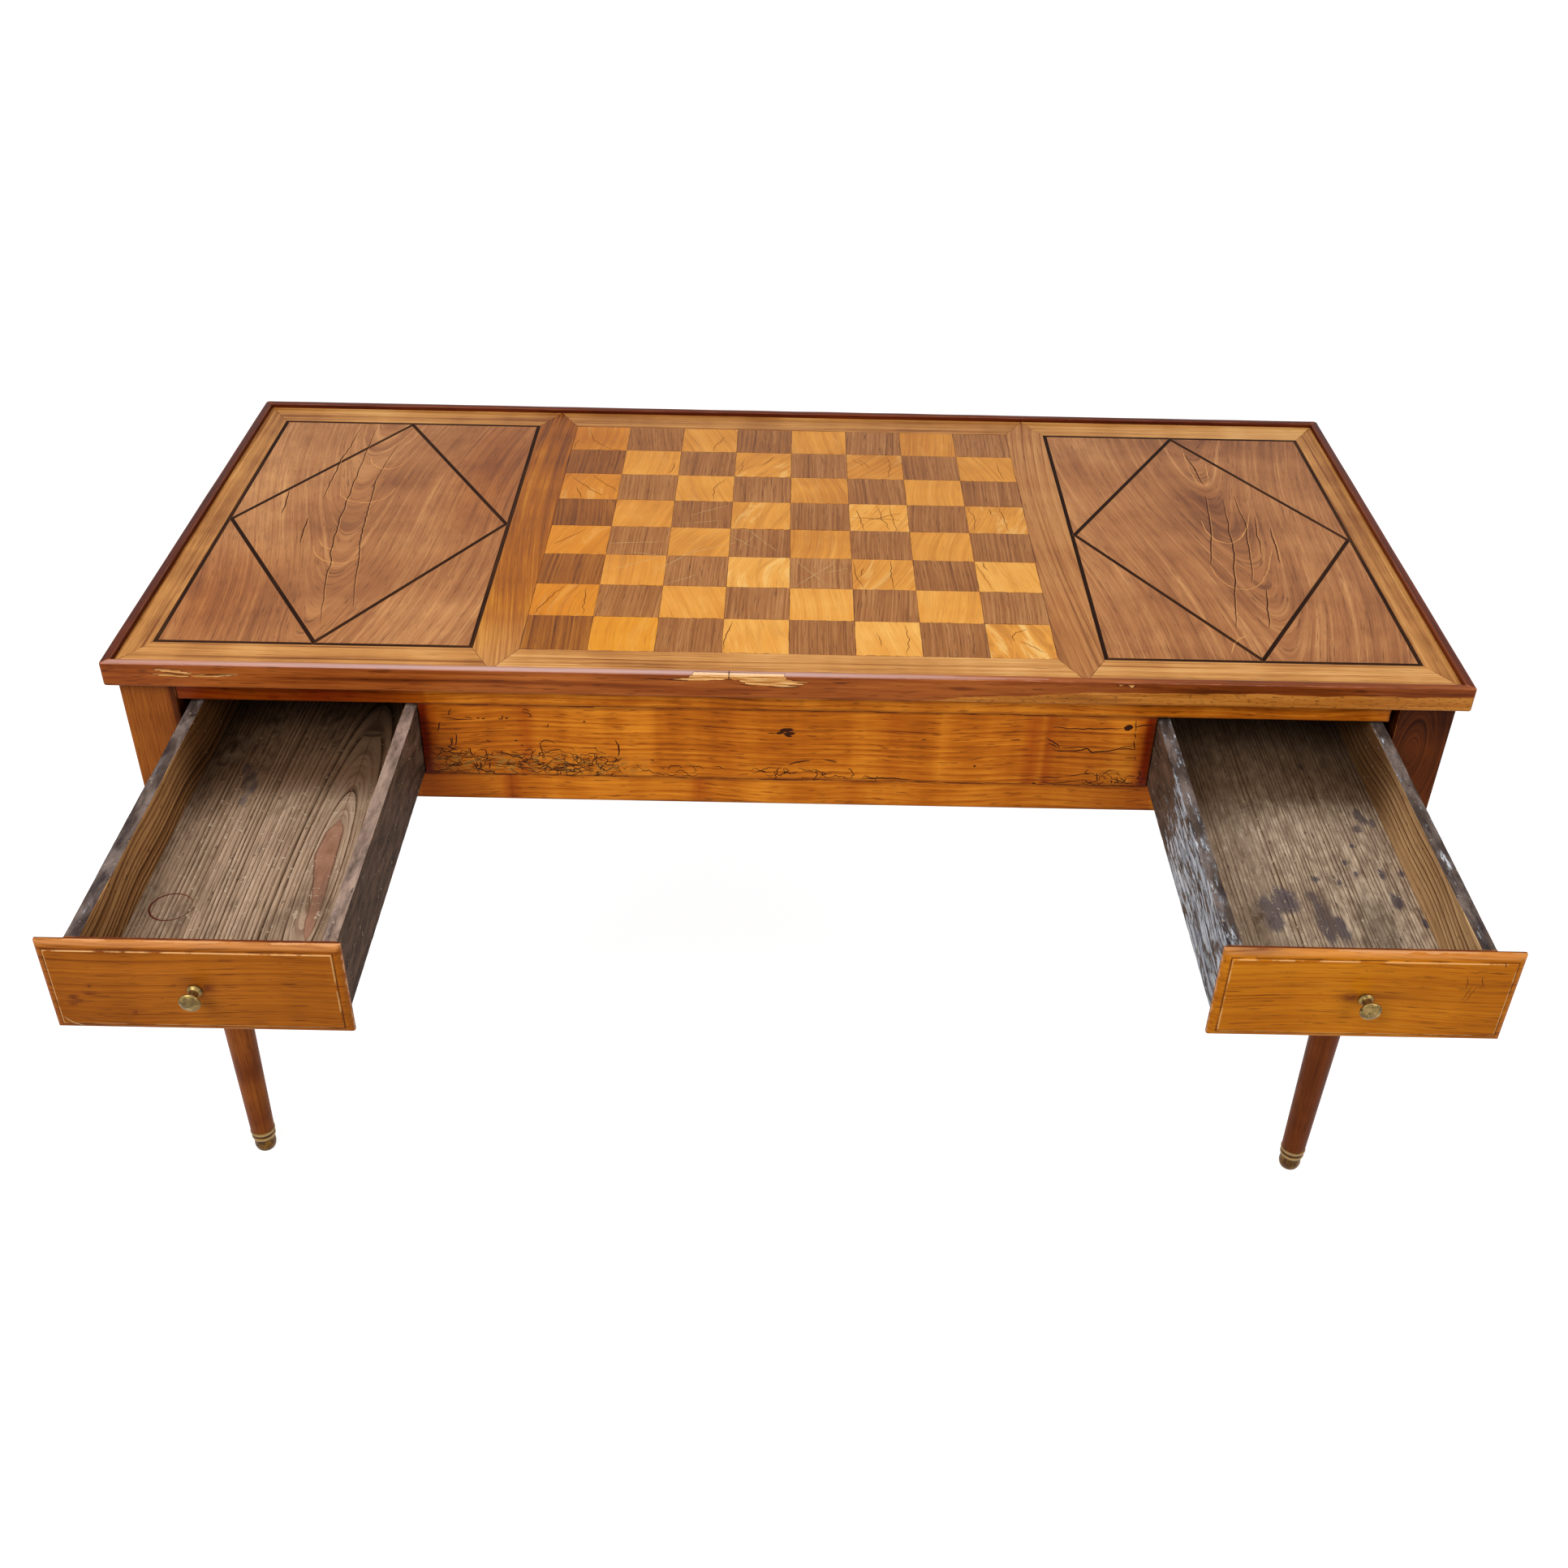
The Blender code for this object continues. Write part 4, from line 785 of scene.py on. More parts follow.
# Splits, lines, brass and cloth
CRACK = plain_dark("splits", (54, 24, 10))
FINE_CRACK = plain_dark("fine_splits", (92, 48, 16))
GALLERY = plain_dark("worm_tracks", (44, 18, 4))
FIGURE = plain_dark("pale_figure", (180, 120, 70), 0.5)
SCRATCH = plain_dark("scratches", (200, 150, 104), 0.5)
RING_STAIN = plain_dark("ring_stain", (78, 32, 24))
KNOB_BRASS = metal("aged_brass", (152, 127, 76), (99, 78, 42), (34, 24, 14))
FOOT_BRASS = metal("foot_brass", (120, 85, 34), (76, 47, 16), (46, 28, 12), 0.4)
BAIZE = felt("green_baize")


def steady(*marks):
    """The same three marks for a whole piece."""
    return lambda points, out: np.tile(marks, (len(points), 1))


def tone(value):
    """The same tone for a whole piece."""
    return steady(value, 0.0, 0.0)


# Top
def ground(points):
    """Table coordinates, with the top's middle at the origin, turned into the model's own."""
    return points + np.array([0, MIDDLE_Y, 0])


def ends_at(along, across, start, end):
    """Slants a board's ends: each point keeps its share of the way along, between two lines that are
    functions of how far across it lies. The result is set on the model's middle line."""
    def shape(points):
        low, high = points[:, along].min(), points[:, along].max()
        share = (points[:, along] - low) / (high - low)
        moved = points.copy()
        moved[:, along] = start(points[:, across]) * (1 - share) + end(points[:, across]) * share
        return ground(moved)
    return shape


# Splinters of the rim: places across it, each with the splinter's lower and upper edge there
SPLINTERS = (
    ((-118, 703.3, 703.7), (-104, 702.6, 704.5), (-96, 702.4, 706.5), (-88, 702.3, 713), (-66, 704, 713),
    (-57, 705, 713)),
    ((-57, 705, 713), (-46, 703, 713), (-38, 698.8, 713), (-19, 698, 713), (-6, 697.6, 713),
    (-1, 699.2, 705.5)),
    ((-8, 701.4, 705.4), (8, 702, 704.6), (21, 703, 703.4)),
    ((-8, 699.2, 701.4), (6, 700, 701.4), (15, 700.6, 700.9)),
    ((-8, 697.4, 699.2), (2, 697.8, 698.9), (9, 698.1, 698.5)),
    ((-607, 703.2, 704), (-598, 701.2, 704.2), (-585, 700.2, 703), (-575, 698.8, 700.7),
    (-570, 698.2, 698.8)),
    ((-611, 697.6, 698.4), (-600, 696.4, 699), (-588, 695.6, 698.4), (-578, 695.4, 697.2),
    (-573, 696, 696.5)),
    ((-571, 696.4, 697.2), (-562, 696.2, 699.6), (-548, 696.6, 699.4), (-535, 698, 700),
    (-526, 699.4, 700)),
    ((313, 706, 706.4), (318, 705, 707.4), (323, 705.6, 706.6), (328, 704.4, 707), (336, 705.4, 706)),
)
# Painted reflection of the sky on the front strip's top face, strongest left of the middle
SHEEN_X = mm(-660, -500, -300, 0, 250, 450, 660)
SHEEN = np.array([0.4, 0.6, 0.8, 0.75, 0.3, 0.04, 0.0])
# Across that face: two pale lines of painted reflection with a duller strip between them, and a dark line
# behind
SHEEN_Y = mm(0.0, 1.9, 3.1, 5.0, 6.5, 7.2, 8.2, 9.0)
SHEEN_ACROSS = np.array([0.5, 0.8, 1.0, 0.5, 0.75, 0.5, -1.0, -1.0])
# Height of the golden sapwood along the front face's right part
SAP_X = mm(105, 141, 180, 235, 297, 414, 660)
SAP_Z = mm(683, 686, 690, 694, 698, 699, 700)
# The open joint between two lengths of the front strip, and the long cracks beside the splinters
SEAM_X = -57 * MM
RIM_CRACKS = [
    ((-57, 710), (-57.3, 704)), ((-150, 704.5), (-96, 703)), ((-60, 701.5), (-30, 697.4)),
    ((-20, 697), (30, 698.5)), ((18, 703), (60, 704)), ((-640, 698), (-612, 697.6)),
    ((-600, 700), (-575, 697.5)), ((-566, 698), (-530, 699.4)),
]


def rim_marks(side):
    """Splinters, sapwood and a painted reflection of the sky on the front strip's top face; painted shade on
    the other strips' top and inner faces.
    """
    def mark(points, out):
        x, z = points[:, 0], points[:, 2]
        if side != "front":
            # The other strips: painted shade on the top face and on the inner face
            inner = -out[:, 1] if side == "back" else -out[:, 0] * np.sign(x)
            return columns(0, 0, -np.maximum(smooth(out[:, 2], 0.7, 0.98), smooth(inner, 0.4, 0.9)))
        # Third mark: a painted reflection of the sky where positive, a dark line along the back edge where
        # negative
        across = np.interp(points[:, 1] - RIM_LOW.y, SHEEN_Y, SHEEN_ACROSS)
        along = np.where(across > 0, np.interp(x, SHEEN_X, SHEEN), 1.0)
        sheen_and_darkening = smooth(out[:, 2], 0.3, 0.8) * across * along
        place = columns(x / 12, z)
        rough = waves(place, 1.7 * MM, 5) * 0.5 + waves(place, 4 * MM, 6) * 0.3
        torn = np.zeros(len(points))
        for outline in SPLINTERS:
            places, bottom, top = np.array(outline).T * MM
            inside = np.minimum(z - np.interp(x, places, bottom), np.interp(x, places, top) - z)
            inside = np.where((x > places[0]) & (x < places[-1]), inside / MM + 0.7 * rough, -9.0)
            torn = np.maximum(torn, smooth(inside, -0.5, 0.7))
        torn = torn * (points[:, 1] < RIM_LOW.y + 5 * MM)
        rise = np.interp(x, SAP_X, SAP_Z) + waves(columns(x, 0), 60 * MM, 9) * 1.2 * MM
        sap = smooth(rise - z, -1 * MM, 1 * MM) * (x > SAP_X[0])
        # The upper front face also goes darker towards the right, above the sapwood
        return columns(torn, sap, sheen_and_darkening - 0.35 * smooth(x, 0.05, 0.3) * (1 - sap) * (sheen_and_darkening < 0.3))
    return mark


def rim_relief(side):
    """Wood torn out where the rim is splintered, and a slow unevenness from years of handling."""
    def relief(points, out):
        depth = waves(points, 70 * MM, 21) * 0.12 * MM
        if side == "front":
            depth -= rim_marks(side)(points, out)[:, 0] * (0.7 * MM + 0.3 * MM * waves(points, 3 * MM, 22))
        return depth
    return relief


def rim():
    """Four mitred strips; each end runs out to the corner as the strip goes outwards."""
    for side, sign, lay, gap, seed in (("front", -1, 0, mm(1.6, 3, 1.3), 3), ("back", 1, 0, mm(3, 3, 1.3), 3),
                                       ("left", -1, 1, mm(3, 3, 2), 5), ("right", 1, 1, mm(3, 3, 2), 5)):
        half, inner = (INNER_Y, INNER_X) if lay else (INNER_X, INNER_Y)
        low, high = np.array([-half, -half, RIM_LOW.z]), np.array([half, half, RIM_HIGH.z])
        low[1 - lay], high[1 - lay] = sorted((sign * inner, sign * (inner + RIM)))

        def reach(across, half=half, inner=inner):
            return half + np.abs(across) - inner - 0.1 * MM

        shape = ends_at(lay, 1 - lay, lambda across: -reach(across), reach)
        part = board(low, high, gap, 1.9 * MM, lay=lay, shape=shape, relief=rim_relief(side),
                     mark=rim_marks(side), seed=seed)
        put(f"rim_strip_{side}", "top", RIM_WOOD, [part], [f"rim_{side}"])


def rim_cracks():
    """The front strip's open joint across its top, and the cracks along its face."""
    across = RIM_LOW.y + np.linspace(0.1 * MM, RIM - 0.2 * MM, 12)
    parts = [sliver(columns(SEAM_X, across, RIM_HIGH.z - 0.02 * MM), 1.0 * MM, UP)]
    for number, line in enumerate(RIM_CRACKS):
        path = face_line(line, RIM_LOW.y + 0.05 * MM, 1.2, 0.4, number + 400)
        parts.append(sliver(path, 0.9 * MM, TO_FRONT))
    put("rim_cracks", "top", CRACK, parts)


# Tones of the border bands, darker below nothing
BAND_TONES = {
    ("front", "left"): -0.18, ("front", "centre"): 0.04, ("back", "left"): -0.2, ("back", "centre"): -0.26,
    ("back", "right"): -0.1,
}


def divider_marks(points, out):
    """The divider darkens to the back, and its front tip turns tan."""
    back = points[:, 1] - MIDDLE_Y
    return columns(np.interp(back, [-0.3, 0.0, 0.3], [0.04, -0.03, -0.28]), smooth(back, -0.17, -0.3), 0)


def divider_bend(grain, points):
    """The dividers' grain leans slowly from side to side."""
    return grain + columns(0, 0.02 * np.sin((points[:, 1] - MIDDLE_Y) * 5 + 1), 0)


def band(place, material, lay, sides, start, stop, gap=mm(6, 6, 12), **more):
    """A band of the borders between two sides, whose ends follow two functions of the place across."""
    low, high = np.array([-0.3, -0.3, SHEET_BOTTOM]), np.array([0.3, 0.3, SURFACE])
    low[1 - lay], high[1 - lay] = sorted(sides)
    part = board(low, high, gap, 0.35 * MM, lay=lay, shape=ends_at(lay, 1 - lay, start, stop), **more)
    name = place.replace("border", "band").replace("divider", "point_band")
    put(name, "top", material, [part], [place])


def borders():
    """Bands round the fields and the board: mitred at the corners and beside the dividers' points."""
    gap = JOINT / 2
    middle = FIELD_START - DIVIDER / 2

    def slant(first, last):
        """From first at the board's line to last at the rim."""
        return lambda y: first + (last - first) * (np.abs(y) - BOARD_HALF) / (INNER_Y - BOARD_HALF)

    to_middle, from_middle, to_corner = (
        slant(BOARD_HALF, middle), slant(FIELD_START, middle), slant(FIELD_END, INNER_X))
    runs = {
        "left": (lambda y: gap - to_corner(y), lambda y: -gap - from_middle(y)),
        "right": (lambda y: from_middle(y) + gap, lambda y: to_corner(y) - gap),
        "centre": (lambda y: gap - to_middle(y), lambda y: to_middle(y) - gap),
    }
    for end, sign in (("front", -1), ("back", 1)):
        for place, (start, stop) in runs.items():
            band(f"border_{end}_{place}", CHERRY, 0, (sign * (BOARD_HALF + gap), sign * (INNER_Y - gap)),
                 start, stop, seed=len(place) + sign * 4 + 20, mark=tone(BAND_TONES.get((end, place), 0.0)))

    def half(x):
        """Half the length of an end band, mitred to the corner."""
        return BOARD_HALF + (INNER_Y - BOARD_HALF) * (np.abs(x) - FIELD_END) / (INNER_X - FIELD_END) - gap

    def peak(x):
        """Half the length of a divider, pointed in its middle."""
        return BOARD_HALF + (INNER_Y - BOARD_HALF) * (1 - np.abs(np.abs(x) - middle) / (DIVIDER / 2)) - gap

    for place, sign, material in (("left", -1, GOLDEN_BAND), ("right", 1, PINK_BAND)):
        band(f"border_end_{place}", CHERRY, 1, (sign * (FIELD_END + gap), sign * (INNER_X - gap)),
             lambda x: -half(x), half, seed=31 + sign, mark=tone(-0.31 + 0.06 * sign))
        band(f"divider_{place}", material, 1, (sign * (BOARD_HALF + gap), sign * (FIELD_START - gap)),
             lambda x: -peak(x), peak, gap=mm(3, 6, 12), bend=divider_bend, mark=divider_marks,
             seed=41 + sign)


# Where the line of the fields' arches runs
ARCH_MIDDLE = {"left": -487 * MM, "right": 492 * MM}
# Clouds of the fields: middle across and back, half width, half length, tone and warmth
FIELD_CLOUDS = {
    "left": (
        (-600, 140, 60, 150, 0.16, 0), (-345, 130, 50, 160, -0.12, 0.8), (-590, -180, 55, 110, -0.04, 0.6),
        (-400, -190, 80, 70, 0.24, 0), (-520, -120, 60, 60, 0.16, 0), (-455, 105, 26, 40, -0.22, 0.1),
        (-500, -20, 34, 30, -0.16, 0),
    ),
    "right": (
        (340, 0, 50, 280, 0.08, 0.15), (470, 90, 32, 36, -0.28, 0.3), (490, 40, 44, 40, -0.16, 0),
        (520, 190, 60, 60, 0.06, 0), (360, 230, 60, 50, 0.3, 0), (600, 230, 50, 60, 0.1, 0),
        (560, -20, 50, 120, 0.08, 0), (470, -150, 60, 80, 0.06, 0),
    ),
}


def field_bend(place, sign):
    """Grain of nested arches open to the back: an eighth of how far back a point lies, plus a slow
    swell along the arches' line, less the distance from that line, which a hyperbola rounds at the
    nose."""
    def bend(grain, points):
        back = points[:, 1] - MIDDLE_Y
        aside = points[:, 0] - ARCH_MIDDLE[place] + 9 * MM * np.sin(back * 11)
        swell = 1.2 * MM * np.sin(back * 40 + sign) * np.exp(-(aside / (42 * MM)) ** 2)
        rise = back * 0.13 + swell - np.sqrt(aside ** 2 + (34 * MM) ** 2)
        return columns(grain[:, 0], rise, grain[:, 2])
    return bend


def field_marks(place):
    """Clouds as broad round hills of tone and warmth."""
    def mark(points, out):
        x, y = points[:, 0], points[:, 1] - MIDDLE_Y
        marks = np.zeros((len(points), 3))
        for *oval, shade, warm in FIELD_CLOUDS[place]:
            marks += np.exp(-hill(x, y, *oval))[:, None] * np.array([shade, warm, 0])
        return marks
    return mark


def fields():
    """The two lozenge fields, one leaf of figured veneer each."""
    half = BOARD_HALF - STRING
    for place, sign in (("left", -1), ("right", 1)):
        low_x, high_x = sorted((sign * (FIELD_START + STRING), sign * (FIELD_END - STRING)))
        part = board((low_x, -half, SHEET_BOTTOM), (high_x, half, SURFACE), mm(4, 4, 12), 0.2 * MM, lay=1,
                     shape=ground, bend=field_bend(place, sign), mark=field_marks(place), seed=51 + sign)
        put(f"field_panel_{place}", "top", FIELD, [part], [f"lozenge_field_{place}"])


def line_part(start, end, bevel_start, bevel_end, height):
    """One straight length of stringing from start to end, its ends cut on a slant; the mark runs
    from 0 to 1 across it and the grain along it."""
    start, end = np.array(start), np.array(end)
    width = STRING + 2 * HAIR
    length = np.linalg.norm(end - start)
    way = (end - start) / length
    side = np.array([-way[1], way[0]])
    line = board((0, -width / 2, SHEET_BOTTOM), (length, width / 2, SURFACE + height), mm(8, 0.6, 12),
                 0.1 * MM, near=(mm(0, 0.5), mm(0, 0.3), mm(0, 0.1)))
    flat = line["points"]
    across = flat[:, 1]
    share = flat[:, 0] / length
    along = (bevel_start * across) * (1 - share) + (length - bevel_end * across) * share
    place = start + along[:, None] * way + across[:, None] * side
    line["grain"] = columns(along + start[0], across + start[1], flat[:, 2])
    line["mark"] = columns(across / width + 0.5, 0, 0)
    line["points"] = ground(columns(place[:, 0], place[:, 1], flat[:, 2]))
    return line


def turn_slant(before, corner, after):
    """How far a mitre at this corner runs along for each step across: the tangent of half the turn."""
    first, second = corner - before, after - corner
    turn = math.atan2(first[0] * second[1] - first[1] * second[0], float(first @ second))
    return math.tan(turn / 2)


def closed_line(name, corners, height, node):
    """Stringing round a closed figure, mitred where two lengths meet."""
    corners = [np.array(corner) for corner in corners]
    before, after = corners[-1:] + corners[:-1], corners[1:] + corners[:1]
    slants = [turn_slant(*three) for three in zip(before, corners, after)]
    lengths = zip(corners, after, slants, slants[1:] + slants[:1])
    parts = [line_part(*length, height) for length in lengths]
    put(name, "top", STRINGING, parts, [node])


def stringing():
    """A frame of dark lines round each field and a lozenge whose points touch its sides' middles."""
    inset, off = STRING / 2, 2.8 * MM
    for place, sign in (("left", -1), ("right", 1)):
        low_x, high_x = sorted((sign * FIELD_START, sign * FIELD_END))
        x0, x1, y1 = low_x + inset, high_x - inset, BOARD_HALF - inset
        middle = (low_x + high_x) / 2
        frame_corners = [(x0, -y1), (x1, -y1), (x1, y1), (x0, y1)]
        tips = [(x0 + off, 0), (middle, -y1 + off), (x1 - off, 0), (middle, y1 - off)]
        closed_line(f"line_frame_{place}", frame_corners, 0.02 * MM, f"stringing_frame_{place}")
        closed_line(f"line_lozenge_{place}", tips, 0.05 * MM, f"lozenge_stringing_{place}")


# Squares that are paler or darker than chance and place have them, by column and row from the front left
SQUARE_TONES = {
    (1, 0): 0.2, (0, 4): -0.25, (0, 2): -0.2, (0, 6): -0.1, (7, 5): -0.1, (5, 7): -0.1, (3, 7): -0.1,
    (4, 1): 0.05, (5, 4): 0.03, (3, 2): 0.06, (2, 0): 0.1, (3, 1): 0.1, (4, 2): 0.12,
}
# How strong the swirled figure of some light squares is
SWIRLED = {
    (0, 5): 0.3, (3, 6): 0.6, (5, 4): 0.6, (3, 4): 0.5, (3, 2): 0.6, (7, 0): 0.75, (5, 2): 0.4, (0, 7): 0.2,
    (7, 4): 0.4, (5, 6): 0.3, (0, 1): 0.15, (0, 3): 0.2, (3, 0): 0.3,
}


def square(kind, column, row, chance):
    """One square, a little high or low and tipped by a hair. A light one has its grain turned and
    curled and goes darker to the back; both go deeper to the left."""
    lift, tip_x, tip_y, shade, turn, curl = chance
    light = kind == "light"
    angle = math.radians(16 * turn if light else 2 * turn)
    corner = np.array([column * SQUARE - BOARD_HALF, row * SQUARE - BOARD_HALF])
    middle = corner + SQUARE / 2

    def shape(points):
        away = points[:, :2] - middle
        tip = (away[:, 0] * tip_x + away[:, 1] * tip_y) * 0.0016 + 0.04 * MM * (lift - 1.5)
        return ground(points + columns(0, 0, np.minimum(tip, 0.0)))

    def bend(grain, points):
        x, y = points[:, 0] - middle[0], points[:, 1] - MIDDLE_Y - middle[1]
        across = x * math.cos(angle) + y * math.sin(angle) + curl * (2.0 if light else 0.3) * y * y
        return columns(y * math.cos(angle) - x * math.sin(angle), across, grain[:, 2])

    shade = 0.07 * shade + SQUARE_TONES.get((column, row), 0.0)
    shade -= (0.052 * row + 0.01 * column - 0.06) if light else 0.0
    figure = SWIRLED.get((column, row), 0.12) if light else 0.0
    deep = 1.0 if (column, row) == (1, 0) else 0.1 + 0.9 * math.exp(-1.1 * column) * (1.0 - 0.05 * row)
    low = (*(corner + 0.07 * MM), SHEET_BOTTOM)
    high = (*(corner + SQUARE - 0.07 * MM), SURFACE)
    return board(low, high, mm(6, 6, 12), 0.25 * MM, lay=1, shape=shape, bend=bend,
                 mark=steady(shade, deep, figure), seed=row * 8 + column + 3)


def squares():
    """Sixty-four squares laid one by one, dark at the front left."""
    draw = np.random.default_rng(SEED)
    parts = {"light": [], "dark": []}
    for row in range(8):
        for column in range(8):
            kind = "dark" if (row + column) % 2 == 0 else "light"
            parts[kind].append(square(kind, column, row, draw.normal(size=6)))
    put("chess_dark_squares", "top", DARK, parts["dark"])
    put("chess_light_squares", "top", LIGHT, parts["light"], ["chessboard"])


# Splits in the light squares, in squares from the front left corner
SQUARE_SPLITS = [
    [(0.25, 7.85), (0.37, 7.4), (0.67, 7.06), (0.84, 7.02)], [(0.07, 7.44), (0.03, 7.03)],
    [(2.79, 7.7), (2.62, 7.33), (2.58, 7.03)], [(1.92, 6.52), (1.84, 6.05)],
    [(0.14, 5.85), (0.51, 5.38), (0.74, 5.15)], [(0.48, 5.95), (0.73, 5.63), (0.98, 5.32)],
    [(0.25, 5.45), (0.4, 5.04)], [(2.86, 5.89), (2.66, 5.56), (2.66, 5.05)], [(3.7, 6.86), (3.46, 6.42)],
    [(3.16, 6.74), (3.07, 6.07)], [(5.09, 6.83), (5.31, 6.5)], [(5.21, 6.84), (5.42, 6.42)],
    [(5.73, 6.95), (5.79, 6.52), (5.73, 6.05)], [(7.71, 6.78), (7.74, 6.28), (7.79, 6.06)],
    [(5.04, 4.49), (5.46, 4.46), (5.87, 4.42)], [(5.48, 4.97), (5.56, 4.44), (5.68, 4.03)],
    [(5.12, 4.8), (5.24, 4.03)], [(5.32, 4.4), (5.88, 4.68)], [(5.69, 4.93), (5.78, 4.03)],
    [(7.05, 4.93), (7.15, 4.47), (7.08, 4.05)], [(7.58, 4.98), (7.64, 4.49), (7.67, 4.08)],
    [(7.4, 4.9), (7.45, 4.67)], [(0.59, 3.88), (0.38, 3.63), (0.12, 3.33)],
    [(5.03, 2.9), (5.06, 2.42), (5.18, 2.03)], [(5.2, 2.7), (5.13, 2.43)],
    [(5.64, 2.97), (5.62, 2.45), (5.66, 2.03)], [(7.02, 2.91), (7.12, 2.51), (7.21, 2.07)],
    [(7.13, 2.98), (7.2, 2.71)], [(0.45, 1.91), (0.26, 1.58), (0.08, 1.04)], [(0.8, 1.86), (0.83, 1.05)],
    [(3.13, 0.91), (3.04, 0.51), (3.03, 0.09)], [(5.77, 0.91), (5.81, 0.43), (5.75, 0.03)],
    [(5.33, 0.65), (5.4, 0.24)], [(7.63, 0.86), (7.39, 0.67), (7.4, 0.49)], [(7.49, 0.5), (7.85, 0.16)],
]
# Pale scratches across the board's left middle, in squares too
SQUARE_SCRATCHES = [
    [(2.29, 4.45), (2.93, 4.86)], [(2.17, 4.14), (2.85, 4.29)], [(1.01, 3.39), (1.94, 3.47)],
    [(1.43, 3.1), (1.91, 2.98)], [(3.0, 3.74), (3.42, 3.32)], [(3.15, 3.31), (3.41, 3.75)],
    [(4.75, 2.89), (4.03, 1.98)], [(4.48, 2.47), (4.94, 2.69)], [(2.61, 3.43), (1.82, 2.43)],
    [(1.1, 2.47), (1.94, 2.98)], [(2.03, 2.04), (2.53, 2.39)], [(3.2, 4.1), (3.8, 3.2)],
    [(4.1, 2.9), (4.6, 2.1)], [(2.2, 3.0), (3.1, 3.5)],
]
# Shrinkage splits in the fields, in millimetres from the top's middle
FIELD_SPLITS = [
    [(-527, 249), (-531, 152), (-530, 104), (-529, 49)],
    [(-509, 258), (-508, 226), (-505, 135), (-503, 84), (-499, 3), (-495, -48), (-488, -91), (-481, -149),
    (-468, -226)],
    [(-472, 208), (-478, 151), (-479, 100), (-475, 51), (-470, -15), (-459, -90), (-450, -148),
    (-442, -193)],
    [(-572, 74), (-566, 13)], [(-535, 8), (-529, -56)], [(480, 107), (471, 25), (453, -66)],
    [(499, 97), (482, -42), (469, -114), (452, -199)], [(513, 108), (510, 26), (496, -69), (488, -105)],
    [(526, 57), (513, -41)], [(538, 27), (529, -58)], [(502, -113), (486, -198)], [(477, 217), (484, 128)],
]
# Pale arches of the fields' figure, in millimetres too
FIELD_ARCHES = [
    [(-516, 84), (-512, 62), (-498, 48), (-477, 44), (-462, 54), (-455, 70), (-453, 88)],
    [(-511, -42), (-507, -56), (-496, -66), (-482, -69), (-468, -64), (-458, -50)],
    [(-514, -58), (-508, -78), (-494, -94), (-475, -99), (-464, -92), (-459, -76)],
    [(-499, 168), (-494, 148), (-484, 136), (-470, 132), (-461, 138), (-457, 152)],
    [(463, 44), (463, 16), (470, -8), (486, -15), (500, 2), (512, 28), (523, 67)],
    [(452, -62), (454, -90), (464, -112), (482, -119), (498, -104), (512, -76), (529, -21)],
    [(437, -250), (444, -228), (455, -214), (466, -211), (477, -218), (482, -228)],
    [(476, 240), (474, 180), (477, 138), (484, 128), (491, 140), (497, 195)],
]


def top_splits():
    """Splits, pale arches and scratches on the top."""
    def on_top(path, width, **more):
        return sliver(ground(columns(path[:, 0], path[:, 1], SURFACE + 0.01 * MM)), width * MM, UP, **more)

    def on_squares(line, *given, **more):
        return curve(np.array(line) * SQUARE - BOARD_HALF, *given, **more)

    draw = np.random.default_rng(SEED + 1)
    fine = [on_top(on_squares(line, 1.2 * MM, 1.8 * MM, number, bow=16 * MM), draw.uniform(0.65, 1.0))
            for number, line in enumerate(SQUARE_SPLITS)]
    long = [curve(np.array(line) * MM, 1.5 * MM, 1.6 * MM, number + 60, 9, 45 * MM)
            for number, line in enumerate(FIELD_SPLITS)]
    dark = [on_top(path, draw.uniform(1.3, 1.8)) for path in long]
    ridges = [on_top(path + mm(1.3, 0), 0.6, proud=0.08 * MM) for path in long]
    arches = [on_top(curve(np.array(line) * MM, 1.5 * MM, 0.8 * MM, number + 80, 11), 1.5)
              for number, line in enumerate(FIELD_ARCHES)]
    pale = [on_top(on_squares(line, 2 * MM, 0.7 * MM, number + 100), draw.uniform(0.35, 0.6))
            for number, line in enumerate(SQUARE_SCRATCHES)]
    put("field_splits", "top", CRACK, dark)
    put("square_splits", "top", FINE_CRACK, fine)
    put("field_arches", "top", FIGURE, arches + ridges)
    put("top_scratches", "top", SCRATCH, pale)


def baize():
    """The cloth glued under the core: a thin sheet that ripples by a fraction of its thickness."""
    low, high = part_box("baize_underside")

    def relief(points, out):
        return waves(points, 60 * MM, 33) * 0.1 * MM * (out[:, 2] < -0.5)

    part = board(low, high, mm(9, 9, 12), 0.3 * MM, relief=relief)
    cloth = put("baize_cloth", "top", BAIZE, [part], ["baize_underside"])


rim()
rim_cracks()
borders()
fields()
stringing()
squares()
top_splits()
baize()


# Case
def node_board(node, slot="case_cherry", material=CASE, lay=0, gap=(6, 6, 6), ease=0.8, tenon=0, **more):
    """A board that takes a node's box; gap, ease and tenon are in millimetres. With tenons, the board
    stops at its shoulders and a thinner length runs through it into the posts."""
    low, high = (np.array(corner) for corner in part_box(node))
    seed = len(node) * 7 + lay
    ends = np.zeros(3)
    ends[lay] = tenon * MM
    parts = [board(low + ends, high - ends, mm(*gap), ease * MM, lay=lay, seed=seed, **more)]
    if tenon:
        inset = np.full(3, 6 * MM)
        inset[lay] = 0.5 * MM
        parts.append(board(low + inset, high - inset, mm(100, 100, 100), 0.5 * MM, lay=lay, seed=seed))
    put(f"{node}_board", "case", material, parts, [node])


TENON = 20.02
# Fields of worm tracks: from x, to x, from z, to z, and how many tracks
TRACK_FIELDS = (
    (-356, -165, 582, 605, 130), (-340, -180, 606, 612, 12), (-150, 90, 582, 592, 30),
    (300, 356, 582, 597, 16),
)
